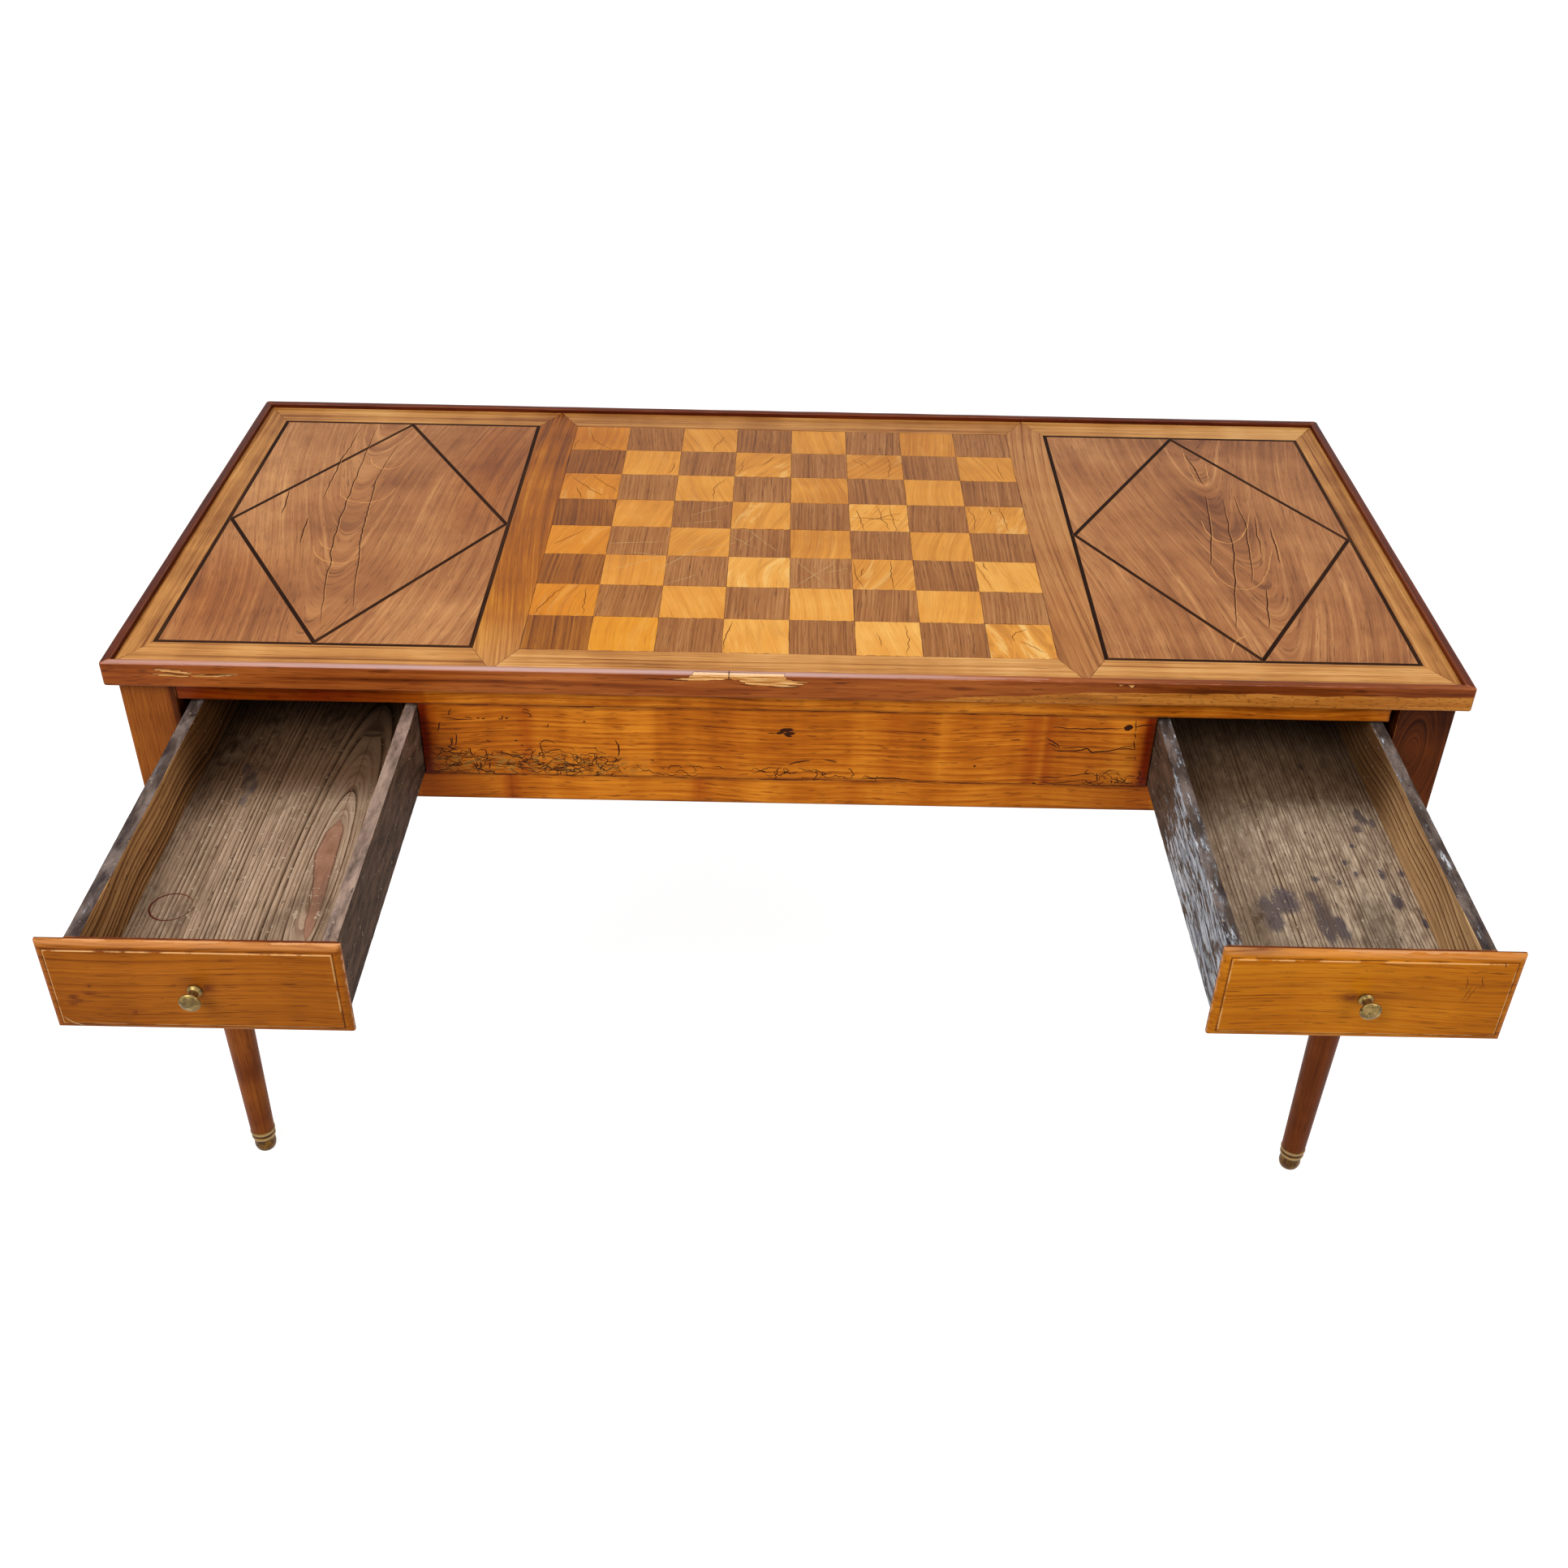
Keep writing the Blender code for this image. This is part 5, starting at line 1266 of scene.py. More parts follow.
# Single lines, hooks and knots of the front panel: width, then places across it and up from the floor
PANEL_LINES = [
    (1.0, [(-329, 659), (-331, 654), (-333, 651), (-330, 652), (-329, 654)]),
    (1.0, [(-340, 648), (-324, 646), (-308, 646)]), (1.2, [(-317, 649), (-309, 647)]),
    (1.6, [(-305, 648), (-302, 648)]), (1.6, [(-300, 647), (-297, 648)]), (1.8, [(-277, 648), (-274, 648)]),
    (1.4, [(-284, 649), (-281, 647), (-279, 652)]), (1.4, [(-341, 643), (-342, 638), (-345, 631)]),
    (1.3, [(-328, 630), (-326, 627), (-328, 616), (-330, 614)]), (1.0, [(-331, 625), (-332, 615)]),
    (1.2, [(-333, 625), (-333, 615), (-337, 613)]), (1.1, [(-351, 613), (-346, 611), (-337, 610)]),
    (1.6, [(-337, 614), (-332, 611), (-327, 609)]),
    (1.2, [(-245, 617), (-244, 621), (-240, 623), (-234, 622), (-229, 619)]),
    (1.1, [(-245, 620), (-244, 612), (-242, 605)]),
    (1.6, [(-170, 625), (-167, 617), (-167, 610), (-168, 605)]), (1.1, [(-235, 643), (-236, 638)]),
    (1.8, [(-201, 646), (-198, 646)]), (1.2, [(-298, 621), (-293, 620)]), (1.6, [(-270, 622), (-266, 622)]),
    (1.4, [(-264, 617), (-261, 616)]), (1.2, [(-260, 658), (-256, 659), (-252, 657)]),
    (1.2, [(-261, 655), (-253, 654), (-251, 651), (-255, 650)]),
    (1.4, [(-136, 602), (-132, 601), (-133, 600)]), (1.6, [(-190, 585), (-188, 582)]),
    (1.2, [(-318, 610), (-314, 612), (-314, 605), (-311, 604), (-309, 608)]),
    (1.2, [(-308, 609), (-304, 610), (-299, 610), (-299, 604), (-302, 602)]),
    (1.2, [(-296, 596), (-298, 586)]), (1.6, [(-306, 596), (-306, 589), (-308, 586)]),
    (1.2, [(-312, 593), (-309, 586), (-304, 587)]),
    (1.1, [(-289, 606), (-282, 607), (-278, 606), (-279, 603)]),
    (1.2, [(-254, 607), (-255, 601), (-258, 599)]), (1.3, [(-183, 595), (-187, 588)]),
    (1.2, [(-198, 605), (-193, 604)]), (1.4, [(254, 638), (261, 634), (268, 628), (270, 624)]),
    (1.2, [(257, 631), (263, 629), (268, 625)]),
    (1.6, [(262, 625), (267, 622), (283, 622), (297, 625), (302, 621), (319, 623), (327, 625), (332, 628),
    (343, 630)]),
    (1.1, [(271, 626), (284, 626), (299, 628)]), (1.2, [(328, 625), (336, 626), (345, 625)]),
    (1.0, [(341, 660), (341, 654), (342, 646)]), (1.2, [(342, 645), (343, 638)]),
    (1.2, [(342, 636), (344, 625)]), (1.1, [(346, 617), (346, 613)]),
    (1.0, [(259, 650), (267, 650), (276, 649)]), (1.4, [(271, 649), (299, 649), (331, 650)]),
    (7.0, [(330, 651), (339, 651)]), (1.6, [(340, 652), (350, 654), (359, 655)]),
    (1.2, [(250, 590), (255, 589), (260, 589), (269, 590), (277, 591)]),
    (1.1, [(277, 591), (293, 594), (307, 596)]), (1.6, [(246, 582), (251, 582)]),
    (1.1, [(252, 583), (272, 583), (284, 585), (297, 587)]), (1.2, [(310, 596), (311, 591), (312, 585)]),
    (1.2, [(325, 588), (326, 583)]), (1.2, [(328, 589), (331, 591), (333, 585), (329, 584)]),
    (1.2, [(334, 591), (340, 587), (337, 584)]), (1.2, [(340, 593), (350, 593)]),
    (1.2, [(350, 599), (354, 599), (354, 593), (350, 592)]), (2.4, [(186, 602), (189, 602)]),
    (1.2, [(132, 631), (138, 633)]), (1.0, [(220, 634), (231, 634)]), (3.2, [(-11, 636), (-3, 638)]),
    (4.6, [(-8, 640), (6, 641)]), (4.0, [(-4, 636), (8, 637)]), (2.6, [(-2, 634), (5, 633)]),
    (1.0, [(-20, 636), (-10, 637)]), (1.6, [(1, 598), (10, 603), (24, 604)]), (1.4, [(37, 606), (50, 603)]),
    (1.5, [(74, 584), (103, 585), (126, 583)]),
]
# Bands of the panel and of the lower rail: middle across, half width, how dark; below nothing, pale
PANEL_BANDS = (
    (-258, 8, 0.9), (-60, 14, 0.3), (105, 12, 0.4), (243, 9, 0.9), (259, 6, 1.0), (300, 40, 0.25),
    (153, 9, -0.5), (251, 2, -1.0),
)
RAIL_BANDS = (
    (-276, 8, 1.4), (-340, 40, 0.9), (-87, 9, 1.3), (60, 20, 0.3), (330, 40, 0.7), (116, 25, -0.5),
)
# The joint between the panel and the lower rail
RAIL_TOP = 580.7 * MM


def tracks(face):
    """Worm tracks under the skin of the front panel: each heads along the panel, its heading a running
    sum of small random turns drawn back to level, with a sharp turn now and then, and its place the
    running sum of its heading."""
    draw = np.random.default_rng(SEED + 2)
    parts = []
    for x_low, x_high, z_low, z_high, count in TRACK_FIELDS:
        for number in range(count):
            length = draw.integers(8, 46)
            turns = draw.normal(size=length) * 0.5
            heading = np.convolve(turns, np.exp(-np.arange(12) / 3))[:length]
            heading += np.where(draw.random(length) < 0.02, 1.4, 0).cumsum() % 2.8
            run = 0.9 * MM * np.where(draw.random() < 0.5, -1, 1)
            x = draw.uniform(x_low, x_high) * MM + np.cumsum(np.cos(heading)) * run
            z = draw.uniform(z_low, z_high) * MM + np.cumsum(np.sin(heading)) * 0.7 * MM
            x = np.clip(x, (x_low - 3) * MM, (x_high + 1) * MM)
            z = np.clip(z, (z_low - 1) * MM, (z_high + 3) * MM) + np.linspace(0, 0.001 * MM, length)
            parts.append(sliver(columns(x, face, z), draw.uniform(0.6, 1.1) * MM, TO_FRONT, 0.12 * MM))
    for number, (width, line) in enumerate(PANEL_LINES):
        parts.append(sliver(face_line(line, face, 1.5, 0.9, number + 300), width * MM, TO_FRONT, 0.12 * MM))
    return parts


def banded(x, bands):
    """The sum of round hills: each band falls away from its middle as a bell."""
    return sum(dark * np.exp(-((x - middle * MM) / (half * MM)) ** 2) for middle, half, dark in bands)


def panel_marks(points, out):
    """Darker and paler bands, where the figure turns the light, stain towards the panel's ends, and the
    place low on its left where the worm tracks are open."""
    x, z = points[:, 0], points[:, 2]
    lower = z < RAIL_TOP
    bands = np.where(lower, banded(x, RAIL_BANDS), banded(x, PANEL_BANDS))
    stain = smooth(np.abs(x), 0.338, 0.360) * np.where(lower, 0.4, 1.0) * (np.abs(x) < 0.37)
    opened = smooth(x, -0.358, -0.335) * smooth(x, -0.12, -0.19) * smooth(np.abs(z - 0.594), 0.015, 0.006)
    pale = np.clip(-bands, 0, 1) * 0.25 + 0.06 * smooth(z, 0.62, 0.60)
    return columns(pale - 0.02 * lower, np.clip(bands, 0, 1.5) * (1 - stain) + 2.1 * stain, opened * ~lower)


def rail_marks(points, out):
    """The top rail is stained red and dark over the left drawer."""
    stain = np.interp(points[:, 0], [-0.53, -0.47, -0.40, -0.355], [0.5, 0.6, 0.5, 0.0])
    return columns(0.02, 1.15 * (stain > 0) + stain, 0)


def front_bend(grain, points):
    """Grain of the front boards: short streaks along them that rise and fall slowly."""
    x = points[:, 0]
    rise = 2.5 * MM * np.sin(x * 14 + 1) + 1.2 * MM * np.sin(x * 37 + 2)
    return columns(x * 1.5, (points[:, 2] + rise) * 0.5, points[:, 1])


def case_front():
    """Rails and fixed panel of the front."""
    node_board("front_top_rail", gap=(5, 6, 4), mark=rail_marks, bend=front_bend)
    node_board("front_panel", gap=(5, 8, 4), ease=0.5, mark=panel_marks, bend=front_bend)
    node_board("front_lower_rail", gap=(5, 8, 4), tenon=TENON, mark=panel_marks, bend=front_bend)
    put("panel_tracks", "case", GALLERY, tracks(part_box("front_panel")[0].y))


# The legs' square posts, and the heights of the turned part: collar and shoulder of the shaft
POST_HALF, POST_BOTTOM = 27.0 * MM, 550.6 * MM
COLLAR_TOP, COLLAR_BOTTOM, SHOULDER = POST_BOTTOM - 6 * MM, POST_BOTTOM - 14 * MM, 34.3 * MM


def leg_profile():
    """A spigot, a shaft that widens evenly, a thin bead, a collar that swells as a half sine, a neck."""
    shaft = np.linspace(0, 1, 60)
    swell = np.linspace(0, np.pi, 11)
    shaft_length = COLLAR_BOTTOM - 6.5 * MM - SHOULDER
    return np.concatenate([
        [(9.6 * MM, 10.3 * MM), (9.6 * MM, SHOULDER), (13.4 * MM, SHOULDER + 0.1 * MM)],
        columns(13.9 * MM + 7.6 * MM * shaft, SHOULDER + 0.5 * MM + shaft_length * shaft),
        [(19.8 * MM, COLLAR_BOTTOM - 3 * MM), (19.9 * MM, COLLAR_BOTTOM - 1 * MM)],
        columns(21.5 * MM + 1.7 * MM * np.sin(swell), COLLAR_BOTTOM + 8 * MM * np.arange(11) / 10),
        [(20 * MM, COLLAR_TOP + 0.2 * MM), (20 * MM, POST_BOTTOM + 1 * MM)],
    ])


def legs():
    """Legs: a square post, a turned neck and collar, and a round shaft that tapers to the foot. The
    right posts are dark, with a figure of nested arches, ovals three times as tall as wide; the left
    ones are pale, with painted shade on their inner face."""
    arch_height = 630 * MM
    for node in [f"leg_{end}_{place}" for end in ("front", "back") for place in ("left", "right")]:
        low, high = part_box(node)
        centre = (low + high) / 2
        right = node.endswith("right")

        def bend(grain, points, centre=centre, right=right):
            x, z = points[:, 0] - centre.x, points[:, 2] - arch_height
            arch = np.sqrt((x + 6 * MM) ** 2 * 9 + z * z + 1e-6) * 0.3
            return columns(grain[:, 0], arch, grain[:, 2]) if right else grain

        def mark(points, out, centre=centre, right=right):
            # The left posts' inner face gets painted shade
            inner = smooth(points[:, 0], centre.x + 18 * MM, centre.x + 21 * MM)
            return columns(-0.46 + 0 * inner if right else 0.22 - 0.75 * inner, 0, 0)

        post = board((centre.x - POST_HALF, centre.y - POST_HALF, POST_BOTTOM),
                     (centre.x + POST_HALF, centre.y + POST_HALF, high.z),
                     mm(4, 4, 5), 1.4 * MM, lay=2, seed=len(node) + 9, mark=mark, bend=bend)
        shaft = turned(leg_profile(), (centre.x, centre.y, 0), seed=len(node) + 2,
                       mark=tone(-0.15 if right else 0.25))
        put(f"{node}_turned", "case", LEG_WOOD, [post, shaft], [node])


def foot_profile():
    """A rounded toe that follows a quarter ellipse, a tapering cup, two rings that swell as half sines,
    and the cup's mouth."""
    toe, cup, swell = np.linspace(np.pi / 2, 0, 12), np.linspace(0.1, 1, 8), np.linspace(0, np.pi, 9)
    toe_top, neck = 20 * MM, 12.9
    rings = [columns((neck + (radius - neck) * np.sin(swell)) * MM, bottom * MM + 6 * MM * np.arange(9) / 8)
             for bottom, radius in ((20, 14.0), (28, 14.6))]
    return np.concatenate([
        columns((7.5 + 5.1 * np.cos(toe)) * MM, toe_top / 2 * (1 - np.sin(toe))),
        columns((12.6 - 1.0 * cup) * MM, toe_top * (0.5 + 0.5 * cup)),
        *rings,
        [mm(10.5, 34)],
    ])


def foot_marks(points, out):
    """Bright on the two rings, as rubbed brass and partly a painted highlight; dirty in the groove between
    them and under the lower one.
    """
    z = points[:, 2] / MM
    bright = np.maximum(smooth(np.abs(z - 31), 2.4, 1.2), smooth(np.abs(z - 23), 2.4, 1.2))
    dirty = np.maximum(smooth(np.abs(z - 27), 1.8, 0.6), smooth(np.abs(z - 19.3), 1.6, 0.4))
    return columns(bright * 0.8, dirty * 0.9, 0)


def feet():
    """Brass feet: a cup, two round rings with a groove between them, and a rounded toe."""
    for node in [f"sabot_{end}_{place}" for end in ("front", "back") for place in ("left", "right")]:
        low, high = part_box(node)
        foot = turned(foot_profile(), ((low.x + high.x) / 2, (low.y + high.y) / 2, 0), 64, mark=foot_marks)
        put(f"{node}_brass", "case", FOOT_BRASS, [foot], [node])


def well_points():
    """Twelve dark and twelve light points inlaid on the well's floor, six to each side of each half:
    triangles whose width falls to almost nothing towards the tip."""
    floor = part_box("well_floor")[1].z
    bar_low, bar_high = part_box("well_bar")
    clear, long = 2 * MM, 200 * MM
    front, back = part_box("front_panel")[1].y + clear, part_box("apron_back")[0].y - clear
    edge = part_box("partition_left")[1].x + clear
    parts = ([], [])
    for half, (start, stop) in enumerate(((edge, bar_low.x - clear), (bar_high.x + clear, -edge))):
        width = (stop - start) / 6
        for number in range(6):
            middle = start + width * (number + 0.5)
            for end, (base, tip) in enumerate(((front, front + long), (back, back - long))):

                def shape(points, base=base, tip=tip, middle=middle):
                    narrow = 1 - 0.97 * (points[:, 1] - base) / (tip - base)
                    return columns(middle + (points[:, 0] - middle) * narrow, points[:, 1], points[:, 2])

                low = (middle - width * 0.46, min(base, tip), floor - 1 * MM)
                high = (middle + width * 0.46, max(base, tip), floor + 0.12 * MM)
                point = board(low, high, mm(6, 6, 12), 0.1 * MM, lay=1, shape=shape, seed=number)
                parts[(number + end + half) % 2].append(point)
    put("well_points_dark", "case", POINT_DARK, parts[0])
    put("well_points_light", "case", POINT_LIGHT, parts[1])


def case_inside():
    """Aprons, partitions, trays, and the well."""
    node_board("apron_back", gap=(8, 8, 8), tenon=TENON)
    for place in ("left", "right"):
        node_board(f"apron_{place}", lay=1, gap=(8, 8, 8), tenon=TENON)
    for place in ("left", "right"):
        node_board(f"partition_{place}", lay=1, gap=(9, 9, 9), material=INSIDE)
        node_board(f"end_tray_{place}", lay=1, gap=(12, 12, 12), material=INSIDE)
    node_board("well_floor", lay=1, gap=(9, 9, 9), slot="well_floor_wood", material=INSIDE)
    node_board("well_bar", lay=1, gap=(9, 9, 9), slot="rim_mahogany", material=INSIDE)


def bare_nodes():
    """The runners and the top's core keep their CAD shape and get bare pine."""
    runners = [f"runner_{place}_{side}" for place in ("left", "right") for side in ("inner", "outer")]
    for name in ["top_core", *runners]:
        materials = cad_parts[name].data.materials
        materials.clear()
        materials.append(RUNNER)


bare_nodes()
case_front()
legs()
feet()
case_inside()
well_points()

# Drawers
# The red patch of the left bottom: places from the top's middle back, its middle across, its half width
RED_Y = mm(-584, -575, -560, -525, -495, -463, -430, -418, -409)
RED_X = mm(-413, -413, -414, -415, -419, -422.5, -422, -421, -421)
RED_HALF = mm(0.0, 3, 5, 6, 8, 10.5, 8.5, 5, 0.0)
# Blots of both bottoms: middle across and back, half width and half length
DARK_BLOTS = {
    "left": (
        (-524, -345, 8, 24), (-517, -360, 6, 15), (-531, -328, 5, 13), (-520, -382, 5, 10),
    ),
    "right": (
        (433, -522, 16, 34), (450, -505, 16, 26), (481, -530, 11, 40), (492, -540, 10, 22),
        (476, -496, 7, 10), (552, -372, 5, 16), (556, -380, 4, 12), (562, -384, 3, 9), (549, -464, 3.5, 12),
        (552, -500, 6, 16), (570, -531, 4, 8), (568, -461, 3, 8), (545, -394, 5, 8), (486, -471, 6, 7),
        (516, -292, 3, 8), (519, -446, 3, 5), (526, -462, 3, 5), (507, -475, 3, 6), (533, -420, 3, 5),
    ),
}


def bottom_marks(place):
    """Stains of one drawer's bottom, the smooth dirty part along one side of it, with a little painted
    shade towards the back on the left, and above one in the last mark the painted shade that grows to the
    back."""
    def mark(points, out):
        x, y = points[:, 0], points[:, 1] - MIDDLE_Y
        if place == "left":
            half = np.maximum(np.interp(y, RED_Y, RED_HALF), 0.5 * MM)
            red = np.clip(1 - np.abs(x - np.interp(y, RED_Y, RED_X)) / half, -1, 1)
            # The left's veil: dirt along its left side, and painted shade towards the back
            veil = smooth(x, -0.515, -0.545) * 0.9 + smooth(y, -0.42, -0.34) * 0.5
        else:
            red, veil = 0, smooth(x, 0.50, 0.43) * 0.85
        blot = np.max([np.clip(1 - hill(x, y, *oval), 0, 1) for oval in DARK_BLOTS[place]], axis=0)
        # Painted shade that grows to the back
        back_shade = smooth(y, -0.47, -0.31)
        return columns(red, blot, np.clip(veil, 0, 1) * (1 - back_shade) + 2 * back_shade)
    return mark


def bottom_bend(place):
    """The left bottom's rings are long ovals round the red patch: across and along from its middle, a
    ninth as much along, by Pythagoras. The right bottom's run straight and close."""
    def bend(grain, points):
        if place == "right":
            return grain * np.array([1, 1.3, 1])
        ovals = np.hypot(points[:, 0] + 0.420, 0.115 * (points[:, 1] - MIDDLE_Y + 0.495))
        return columns(grain[:, 0], 0.03 - ovals * 1.05, grain[:, 2])
    return bend


def hollows(points, out):
    """Slow hollows worn into the upper face."""
    return waves(points, 50 * MM, 12) * 0.3 * MM * (out[:, 2] > 0.5)


def side_marks(place, inward):
    """Which face of a drawer's side a point is on: its upper edge, its outer face and old paint. Below
    nothing, the first mark is painted shade that grows to the back of the inner face."""
    def mark(points, out):
        upper = (out[:, 2] > 0.6).astype(float)
        outer = (out[:, 0] * inward < -0.6).astype(float)
        paint = 0
        if place == "right" and inward > 0:
            paint = outer * (0.15 + 0.5 * smooth(MIDDLE_Y - points[:, 1], 0.36, 0.45)) + upper * 0.35
        elif place == "right":
            paint = upper * 0.24
        elif inward > 0:
            paint = upper * 0.1
        # Painted shade towards the back of the inner face
        back_shade = smooth(points[:, 1] - MIDDLE_Y, -0.47, -0.31) * (1 - upper) * (1 - outer)
        blue = upper if place == "right" or inward > 0 else 0
        return columns(upper + blue - back_shade, outer, paint)
    return mark


def side_relief(seed):
    """The upper edge is worn hollow in places and the rest is uneven by a hair."""
    def relief(points, out):
        worn = smooth(waves(points[:, 1:2], 160 * MM, seed), 0.2, 0.9) * 0.9 * MM
        fine = waves(points, 9 * MM, seed + 1) * 0.12 * MM
        return fine - worn * (out[:, 2] > 0.3)
    return relief


def side_bend(grain, points):
    """Rings across a side's height that rise and fall slowly along it."""
    rise = 6 * MM * np.sin(points[:, 1] * 13 + 2) + 2 * MM * np.sin(points[:, 1] * 41)
    return columns(grain[:, 0], grain[:, 2] + rise, grain[:, 1])


# The fronts' moulded edge: how thick the lip is, how round, and the step up to the flat field
LIP, LIP_ROUND, FIELD_STEP = 7.0 * MM, 5.5 * MM, 1.2 * MM
FRONT_NEAR = mm(0, 0.3, 0.9, 1.8, 3, 4.2, 5.5, 6.4, 6.8, 7.2, 7.6, 8.4, 10)
# Stains of the fronts, and the painted shadow of the left knob, from their middle: across, up, half width,
# half height and strength
FRONT_STAINS_AND_SHADOW = {
    "left": (
        (-101, -10, 4, 2.4, 1.0), (-96, -14, 5, 2.2, 0.9), (-88, -6, 8, 1.4, 1.0), (-103, -17, 3.5, 2, 0.8),
        # The last oval on the next line is the painted shadow cast by the left knob
        (-86, 2, 1.6, 1.6, 1.0), (-17, 4, 1.6, 1.6, 1.0), (-54, -26, 2, 2, 0.9), (11, 2, 8, 5, 1.0),
        (3, 6, 20, 12, 0.4), (-100, 10, 12, 2, 0.35),
    ),
    "right": (
        (-12, 1, 9, 5, 0.9), (14, 3, 26, 5, 0.45), (-60, 14, 26, 2.5, 0.3), (-98, 46, 26, 3, 1.0),
    ),
}
# Cracks in the varnish of the drawer fronts and one pale scratch
FRONT_CRACKS = {
    "left": (
        [(-571, 607), (-563, 608)], [(-583, 613), (-577, 607), (-580, 602)], [(-508, 612), (-506, 612)],
    ),
    "right": (
        [(556, 648), (558, 635)], [(562, 638), (560, 630), (557, 621)], [(568, 648), (571, 637)],
        [(566, 637), (564, 631), (560, 620)], [(556, 652), (571, 654)], [(583, 664), (584, 658)],
    ),
}
FRONT_SCRATCH = [(-592, 590), (-586, 583), (-577, 580)]


def front_shape(centre, lip_back, half_x, bottom, height):
    """Moulded front: how far a point of the front face stands out depends on how far it is from the
    nearest border. It follows a quarter circle over the lip's rounding, then a flat, then a small
    step up to the field. Gives that shape and the distance from the border."""
    def reach(points):
        x = half_x - np.abs(points[:, 0] - centre)
        z = np.minimum(points[:, 2] - bottom, bottom + height - points[:, 2])
        return np.clip(np.minimum(x, z), 0, None)

    def shape(points):
        inset = reach(points)
        round_share = np.clip(1 - inset / LIP_ROUND, 0, 1)
        depth = LIP - LIP_ROUND + LIP_ROUND * np.sqrt(1 - round_share ** 2)
        depth = depth + FIELD_STEP * smooth(inset, 6.6 * MM, 7.6 * MM)
        share = (lip_back - points[:, 1]) / (LIP + FIELD_STEP)
        return columns(points[:, 0], lip_back - share * depth, points[:, 2])
    return shape, reach


def front_line(line, face, width):
    """A crack or a scratch on the flat field of a drawer's front."""
    seed = len(line) * 7 + int(line[0][0]) % 50
    return sliver(face_line(line, face, 1.2, 0.8, seed, bow=9 * MM), width * MM, TO_FRONT)


def front_bend_up(grain, points):
    """Grain of a drawer's front: along it, rising and falling slowly."""
    return columns(grain[:, 0], grain[:, 2] + 3 * MM * np.sin(points[:, 0] * 22 + 1), grain[:, 1])


def drawer_front(place):
    """A drawer's front: moulded lip, the block behind it, its stains and painted knob shadow, cracks and
    scratch.
    """
    body = f"drawer_{place}"
    low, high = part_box(f"{body}_front")
    centre, middle_z = (low.x + high.x) / 2, (low.z + high.z) / 2
    lip_back = low.y + LIP + FIELD_STEP
    shape, reach = front_shape(centre, lip_back, high.x - centre, low.z, high.z - low.z)

    def mark(points, out):
        x, z = points[:, 0] - centre, points[:, 2] - middle_z
        stains = [strength * np.exp(-hill(x, z, *oval)) for *oval, strength in FRONT_STAINS_AND_SHADOW[place]]
        upper = smooth(points[:, 2], high.z - 5 * MM, high.z - 3 * MM)
        rear = smooth(points[:, 1], lip_back - 2.0 * MM, lip_back - 0.5 * MM)
        return columns(reach(points), np.maximum(np.max(stains, axis=0), rear), upper * 0.7 * (1 - rear))

    lip = board(low, (high.x, lip_back, high.z), mm(2.5, 2, 2.2), 0.25 * MM,
                near=(FRONT_NEAR, mm(0, 0.3, 1.5), FRONT_NEAR), shape=shape, mark=mark, bend=front_bend_up,
                seed=11 if place == "left" else 29)
    left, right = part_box(f"{body}_left_side"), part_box(f"{body}_right_side")
    block = board((left[0].x, lip_back - 0.5 * MM, left[0].z), (right[1].x, high.y, left[1].z),
                  mm(10, 5, 8), 0.5 * MM, seed=17, mark=steady(0.05, 0.9, 0.0))
    put(f"{body}_moulded_front", body, FRONTS[place], [lip, block], [f"{body}_front"])
    cracks = [front_line(line, low.y, 0.8) for line in FRONT_CRACKS[place]]
    put(f"{body}_front_cracks", body, FINE_CRACK, cracks)
    if place == "left":
        scratch = front_line(FRONT_SCRATCH, low.y, 0.7)
        put("drawer_left_front_scratch", body, SCRATCH, [scratch])


def knob(place):
    """A brass knob: a stem through the front, a stepped base, a neck that flares by a cube, a round
    edge and a face that domes as an ellipse."""
    low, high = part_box(f"knob_{place}")
    front_low, front_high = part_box(f"drawer_{place}_front")
    flare, dome = np.linspace(0.1, 1, 8), np.linspace(0.15, 1.45, 8)
    profile = np.concatenate([
        [(2.5, -13), (2.5, 0.3), (6.0, 0.4), (6.0, 2.0), (5.2, 2.6), (4.0, 3.4), (3.6, 4.8), (3.6, 9.8)],
        columns(3.6 + 4.3 * flare ** 3, 9.8 + 4.0 * flare),
        [(8.4, 14.0), (8.8, 14.4), (9.0, 14.9), (8.95, 15.4)],
        columns(9.0 * np.cos(dome), 15.2 + 2.9 * np.sin(dome)),
    ])
    axis = ((front_low.x + front_high.x) / 2, front_low.y, (low.z + high.z) / 2)
    brass = turned(profile * MM, axis, 48, to_front=True)
    put(f"knob_{place}_brass", f"drawer_{place}", KNOB_BRASS, [brass], [f"knob_{place}"])


def drawer_box(place):
    """Sides, back and bottom of one drawer in bare old pine."""
    body = f"drawer_{place}"

    def pine(node, gap, ease, material=SIDES[place], **more):
        low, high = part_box(node)
        put(f"{node}_board", body, material, [board(low, high, mm(*gap), ease * MM, **more)], [node])

    for side, inward in (("left", 1), ("right", -1)):
        node = f"{body}_{side}_side"
        seed = len(node) + inward
        pine(node, (3, 5, 3), 1.0, lay=1, seed=seed, mark=side_marks(place, inward),
             relief=side_relief(seed), bend=side_bend)
    pine(f"{body}_back", (6, 4, 4), 1.0, seed=71)
    pine(f"{body}_bottom", (2, 4, 4), 0.5, BOTTOMS[place], lay=1, seed=83, mark=bottom_marks(place),
         bend=bottom_bend(place), relief=hollows)


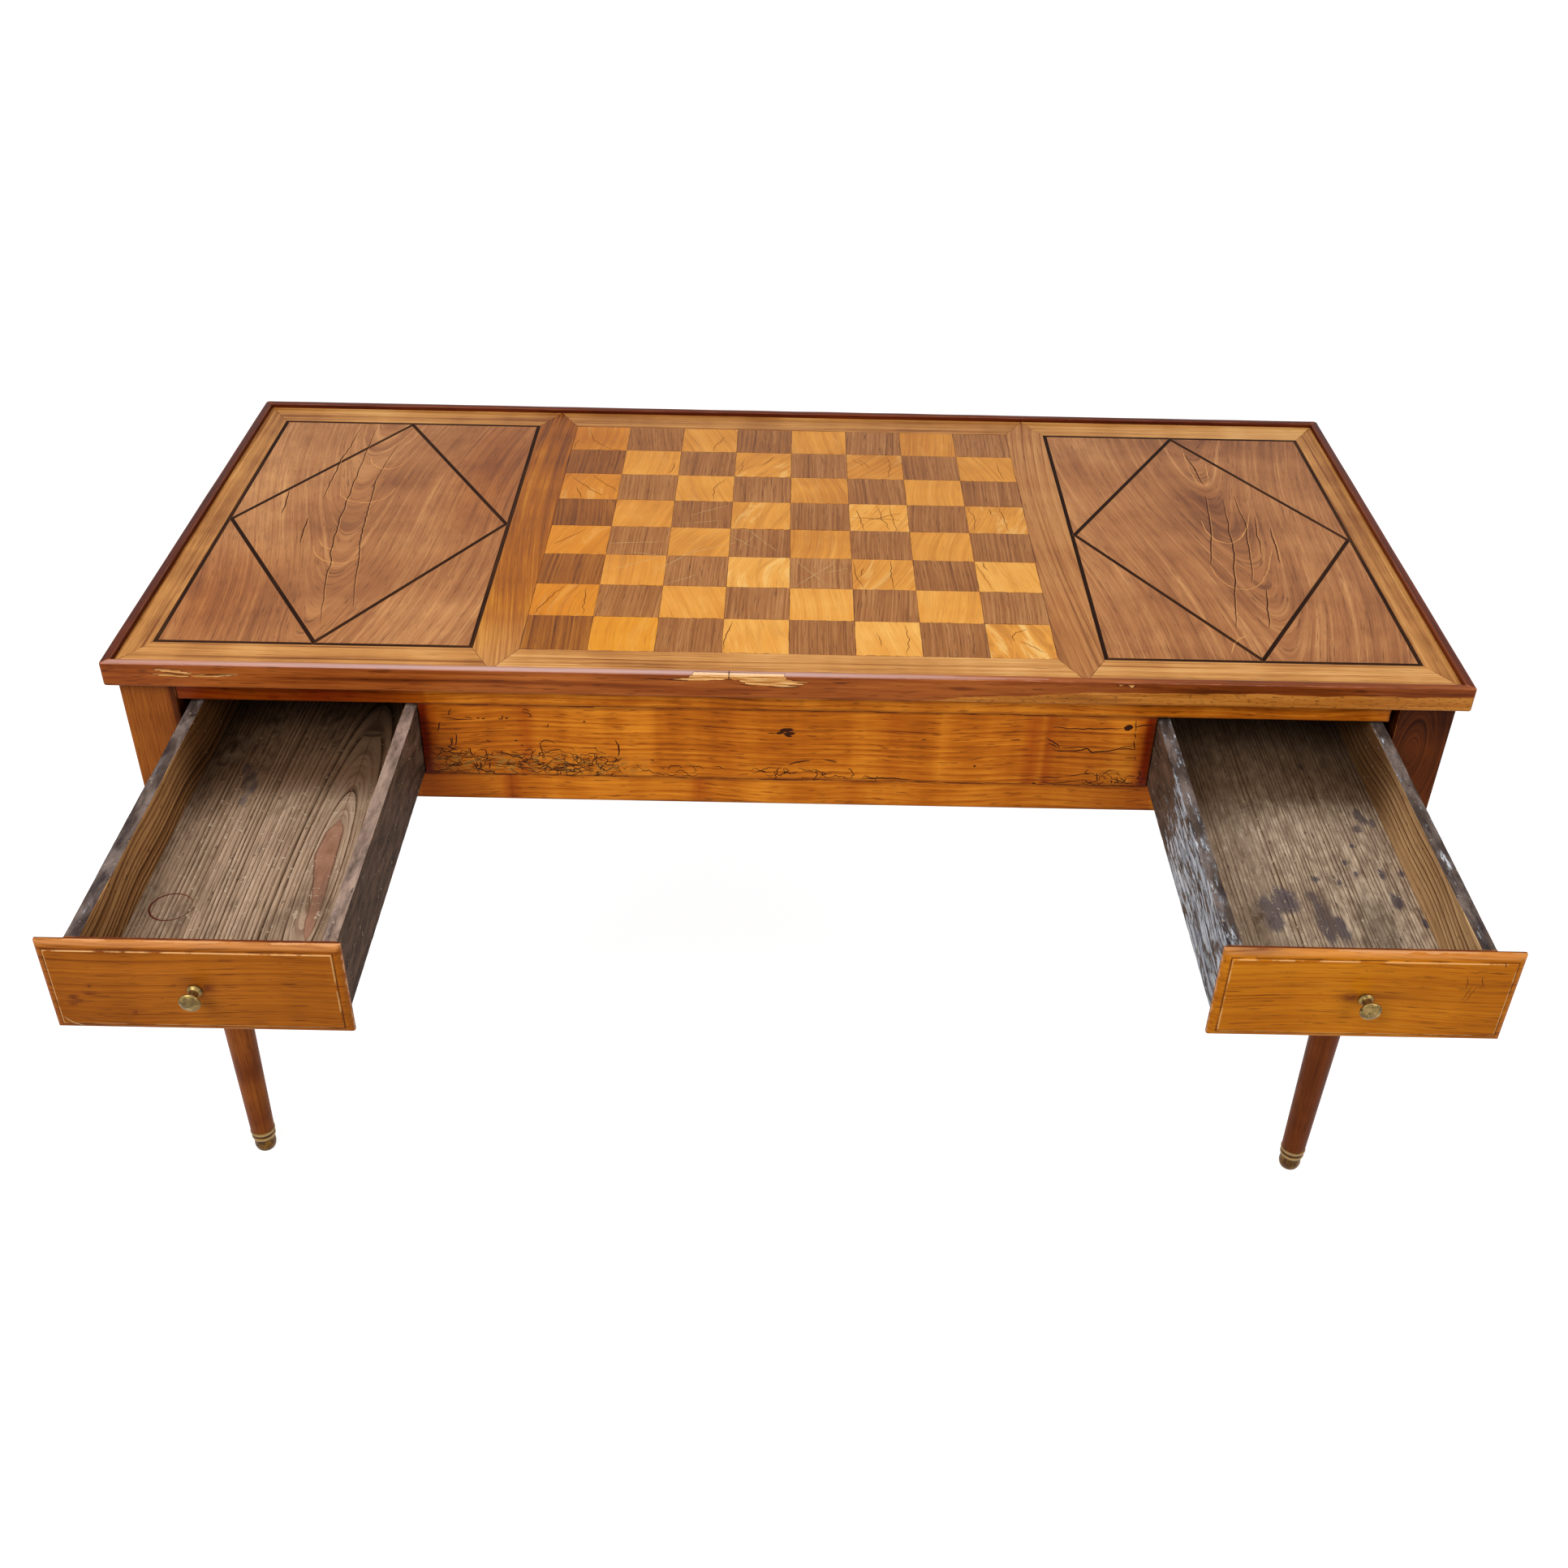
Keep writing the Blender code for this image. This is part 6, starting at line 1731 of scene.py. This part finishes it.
def ring_mark():
    """The broken ring left by a glass in the left drawer, a hair above its hollows."""
    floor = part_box("drawer_left_bottom")[1].z
    across, back, radius = mm(-541, -541, 18.5)
    angles = np.linspace(0.4, 6.0, 70)
    ring = columns(across + radius * np.cos(angles), MIDDLE_Y + back + radius * np.sin(angles), floor)
    ring[:, 2] += hollows(ring, np.tile(UP, (len(ring), 1))) + 0.08 * MM
    put("ring_mark", "drawer_left", RING_STAIN, [sliver(ring, 1.8 * MM, UP)])


for drawer in ("left", "right"):
    drawer_front(drawer)
    knob(drawer)
    drawer_box(drawer)
ring_mark()


# Floor, light and camera
def shows_white(draft):
    """One for the rays that show the background: from the eye, off a gloss or through glass."""
    path = draft.tree.nodes.new("ShaderNodeLightPath").outputs
    mirrored = draft.plus(path["Is Glossy Ray"], path["Is Transmission Ray"])
    return draft.do("MINIMUM", draft.plus(path["Is Camera Ray"], mirrored), 1.0)


def stage():
    """A pale floor that shows white to the eye and keeps the table's shadow."""
    mesh = bpy.data.meshes.new("floor")
    reach = 12.0
    corners = [(-reach, -reach, 0), (reach, -reach, 0), (reach, reach, 0), (-reach, reach, 0)]
    mesh.from_pydata(corners, [], [(0, 1, 2, 3)])
    floor = bpy.data.objects.new("floor", mesh)
    bpy.context.scene.collection.objects.link(floor)
    material, shader = new_material("floor_white")
    draft = Draft(material.node_tree)
    shader.inputs["Base Color"].default_value = (0.5, 0.5, 0.5, 1)
    shader.inputs["Roughness"].default_value = 1.0
    shader.inputs["Specular IOR Level"].default_value = 0.0
    shader.inputs["Emission Color"].default_value = (1, 1, 1, 1)
    draft.feed(shader.inputs["Emission Strength"], draft.times(shows_white(draft), 0.82))
    mesh.materials.append(material)


def world_light(strength):
    """White to the eye, and a level light to everything else."""
    world = bpy.data.worlds.new("daylight")
    bpy.context.scene.world = world
    world.use_nodes = True
    draft = Draft(world.node_tree)
    background = world.node_tree.nodes["Background"]
    background.inputs["Color"].default_value = (1, 1, 1, 1)
    level = draft.times_plus(shows_white(draft), 1.0 - strength, strength)
    draft.feed(background.inputs["Strength"], level)


def lamp(name, place, size, power, target=(0, 0.1, 0.6)):
    """A soft square lamp turned to the table."""
    light = bpy.data.lights.new(name, "AREA")
    light.shape = "SQUARE"
    light.size = size
    light.energy = power
    holder = bpy.data.objects.new(name, light)
    holder.location = place
    holder.rotation_euler = (Vector(target) - Vector(place)).to_track_quat("-Z", "Y").to_euler()
    bpy.context.scene.collection.objects.link(holder)


def camera(place, turn, focal_length, sensor=36.0):
    """The photograph's viewpoint, solved from the chessboard, the top's corners and the drawers."""
    lens = bpy.data.cameras.new("camera")
    lens.sensor_width = sensor
    lens.lens = focal_length
    lens.clip_end = 50
    holder = bpy.data.objects.new("camera", lens)
    holder.location = place
    holder.rotation_euler = turn
    bpy.context.scene.collection.objects.link(holder)
    bpy.context.scene.camera = holder


stage()
world_light(0.37)
lamp("key", (-1.5, -1.9, 2.6), 1.6, 58)
lamp("fill", (1.9, -1.7, 2.0), 1.6, 24)
lamp("sky", (0.0, 0.1, 3.2), 2.6, 22)
camera((-0.0065, -1.494, 1.5671), (0.947049, -0.016981, 0.009068), 38.75)
bpy.context.scene.view_settings.view_transform = "Standard"
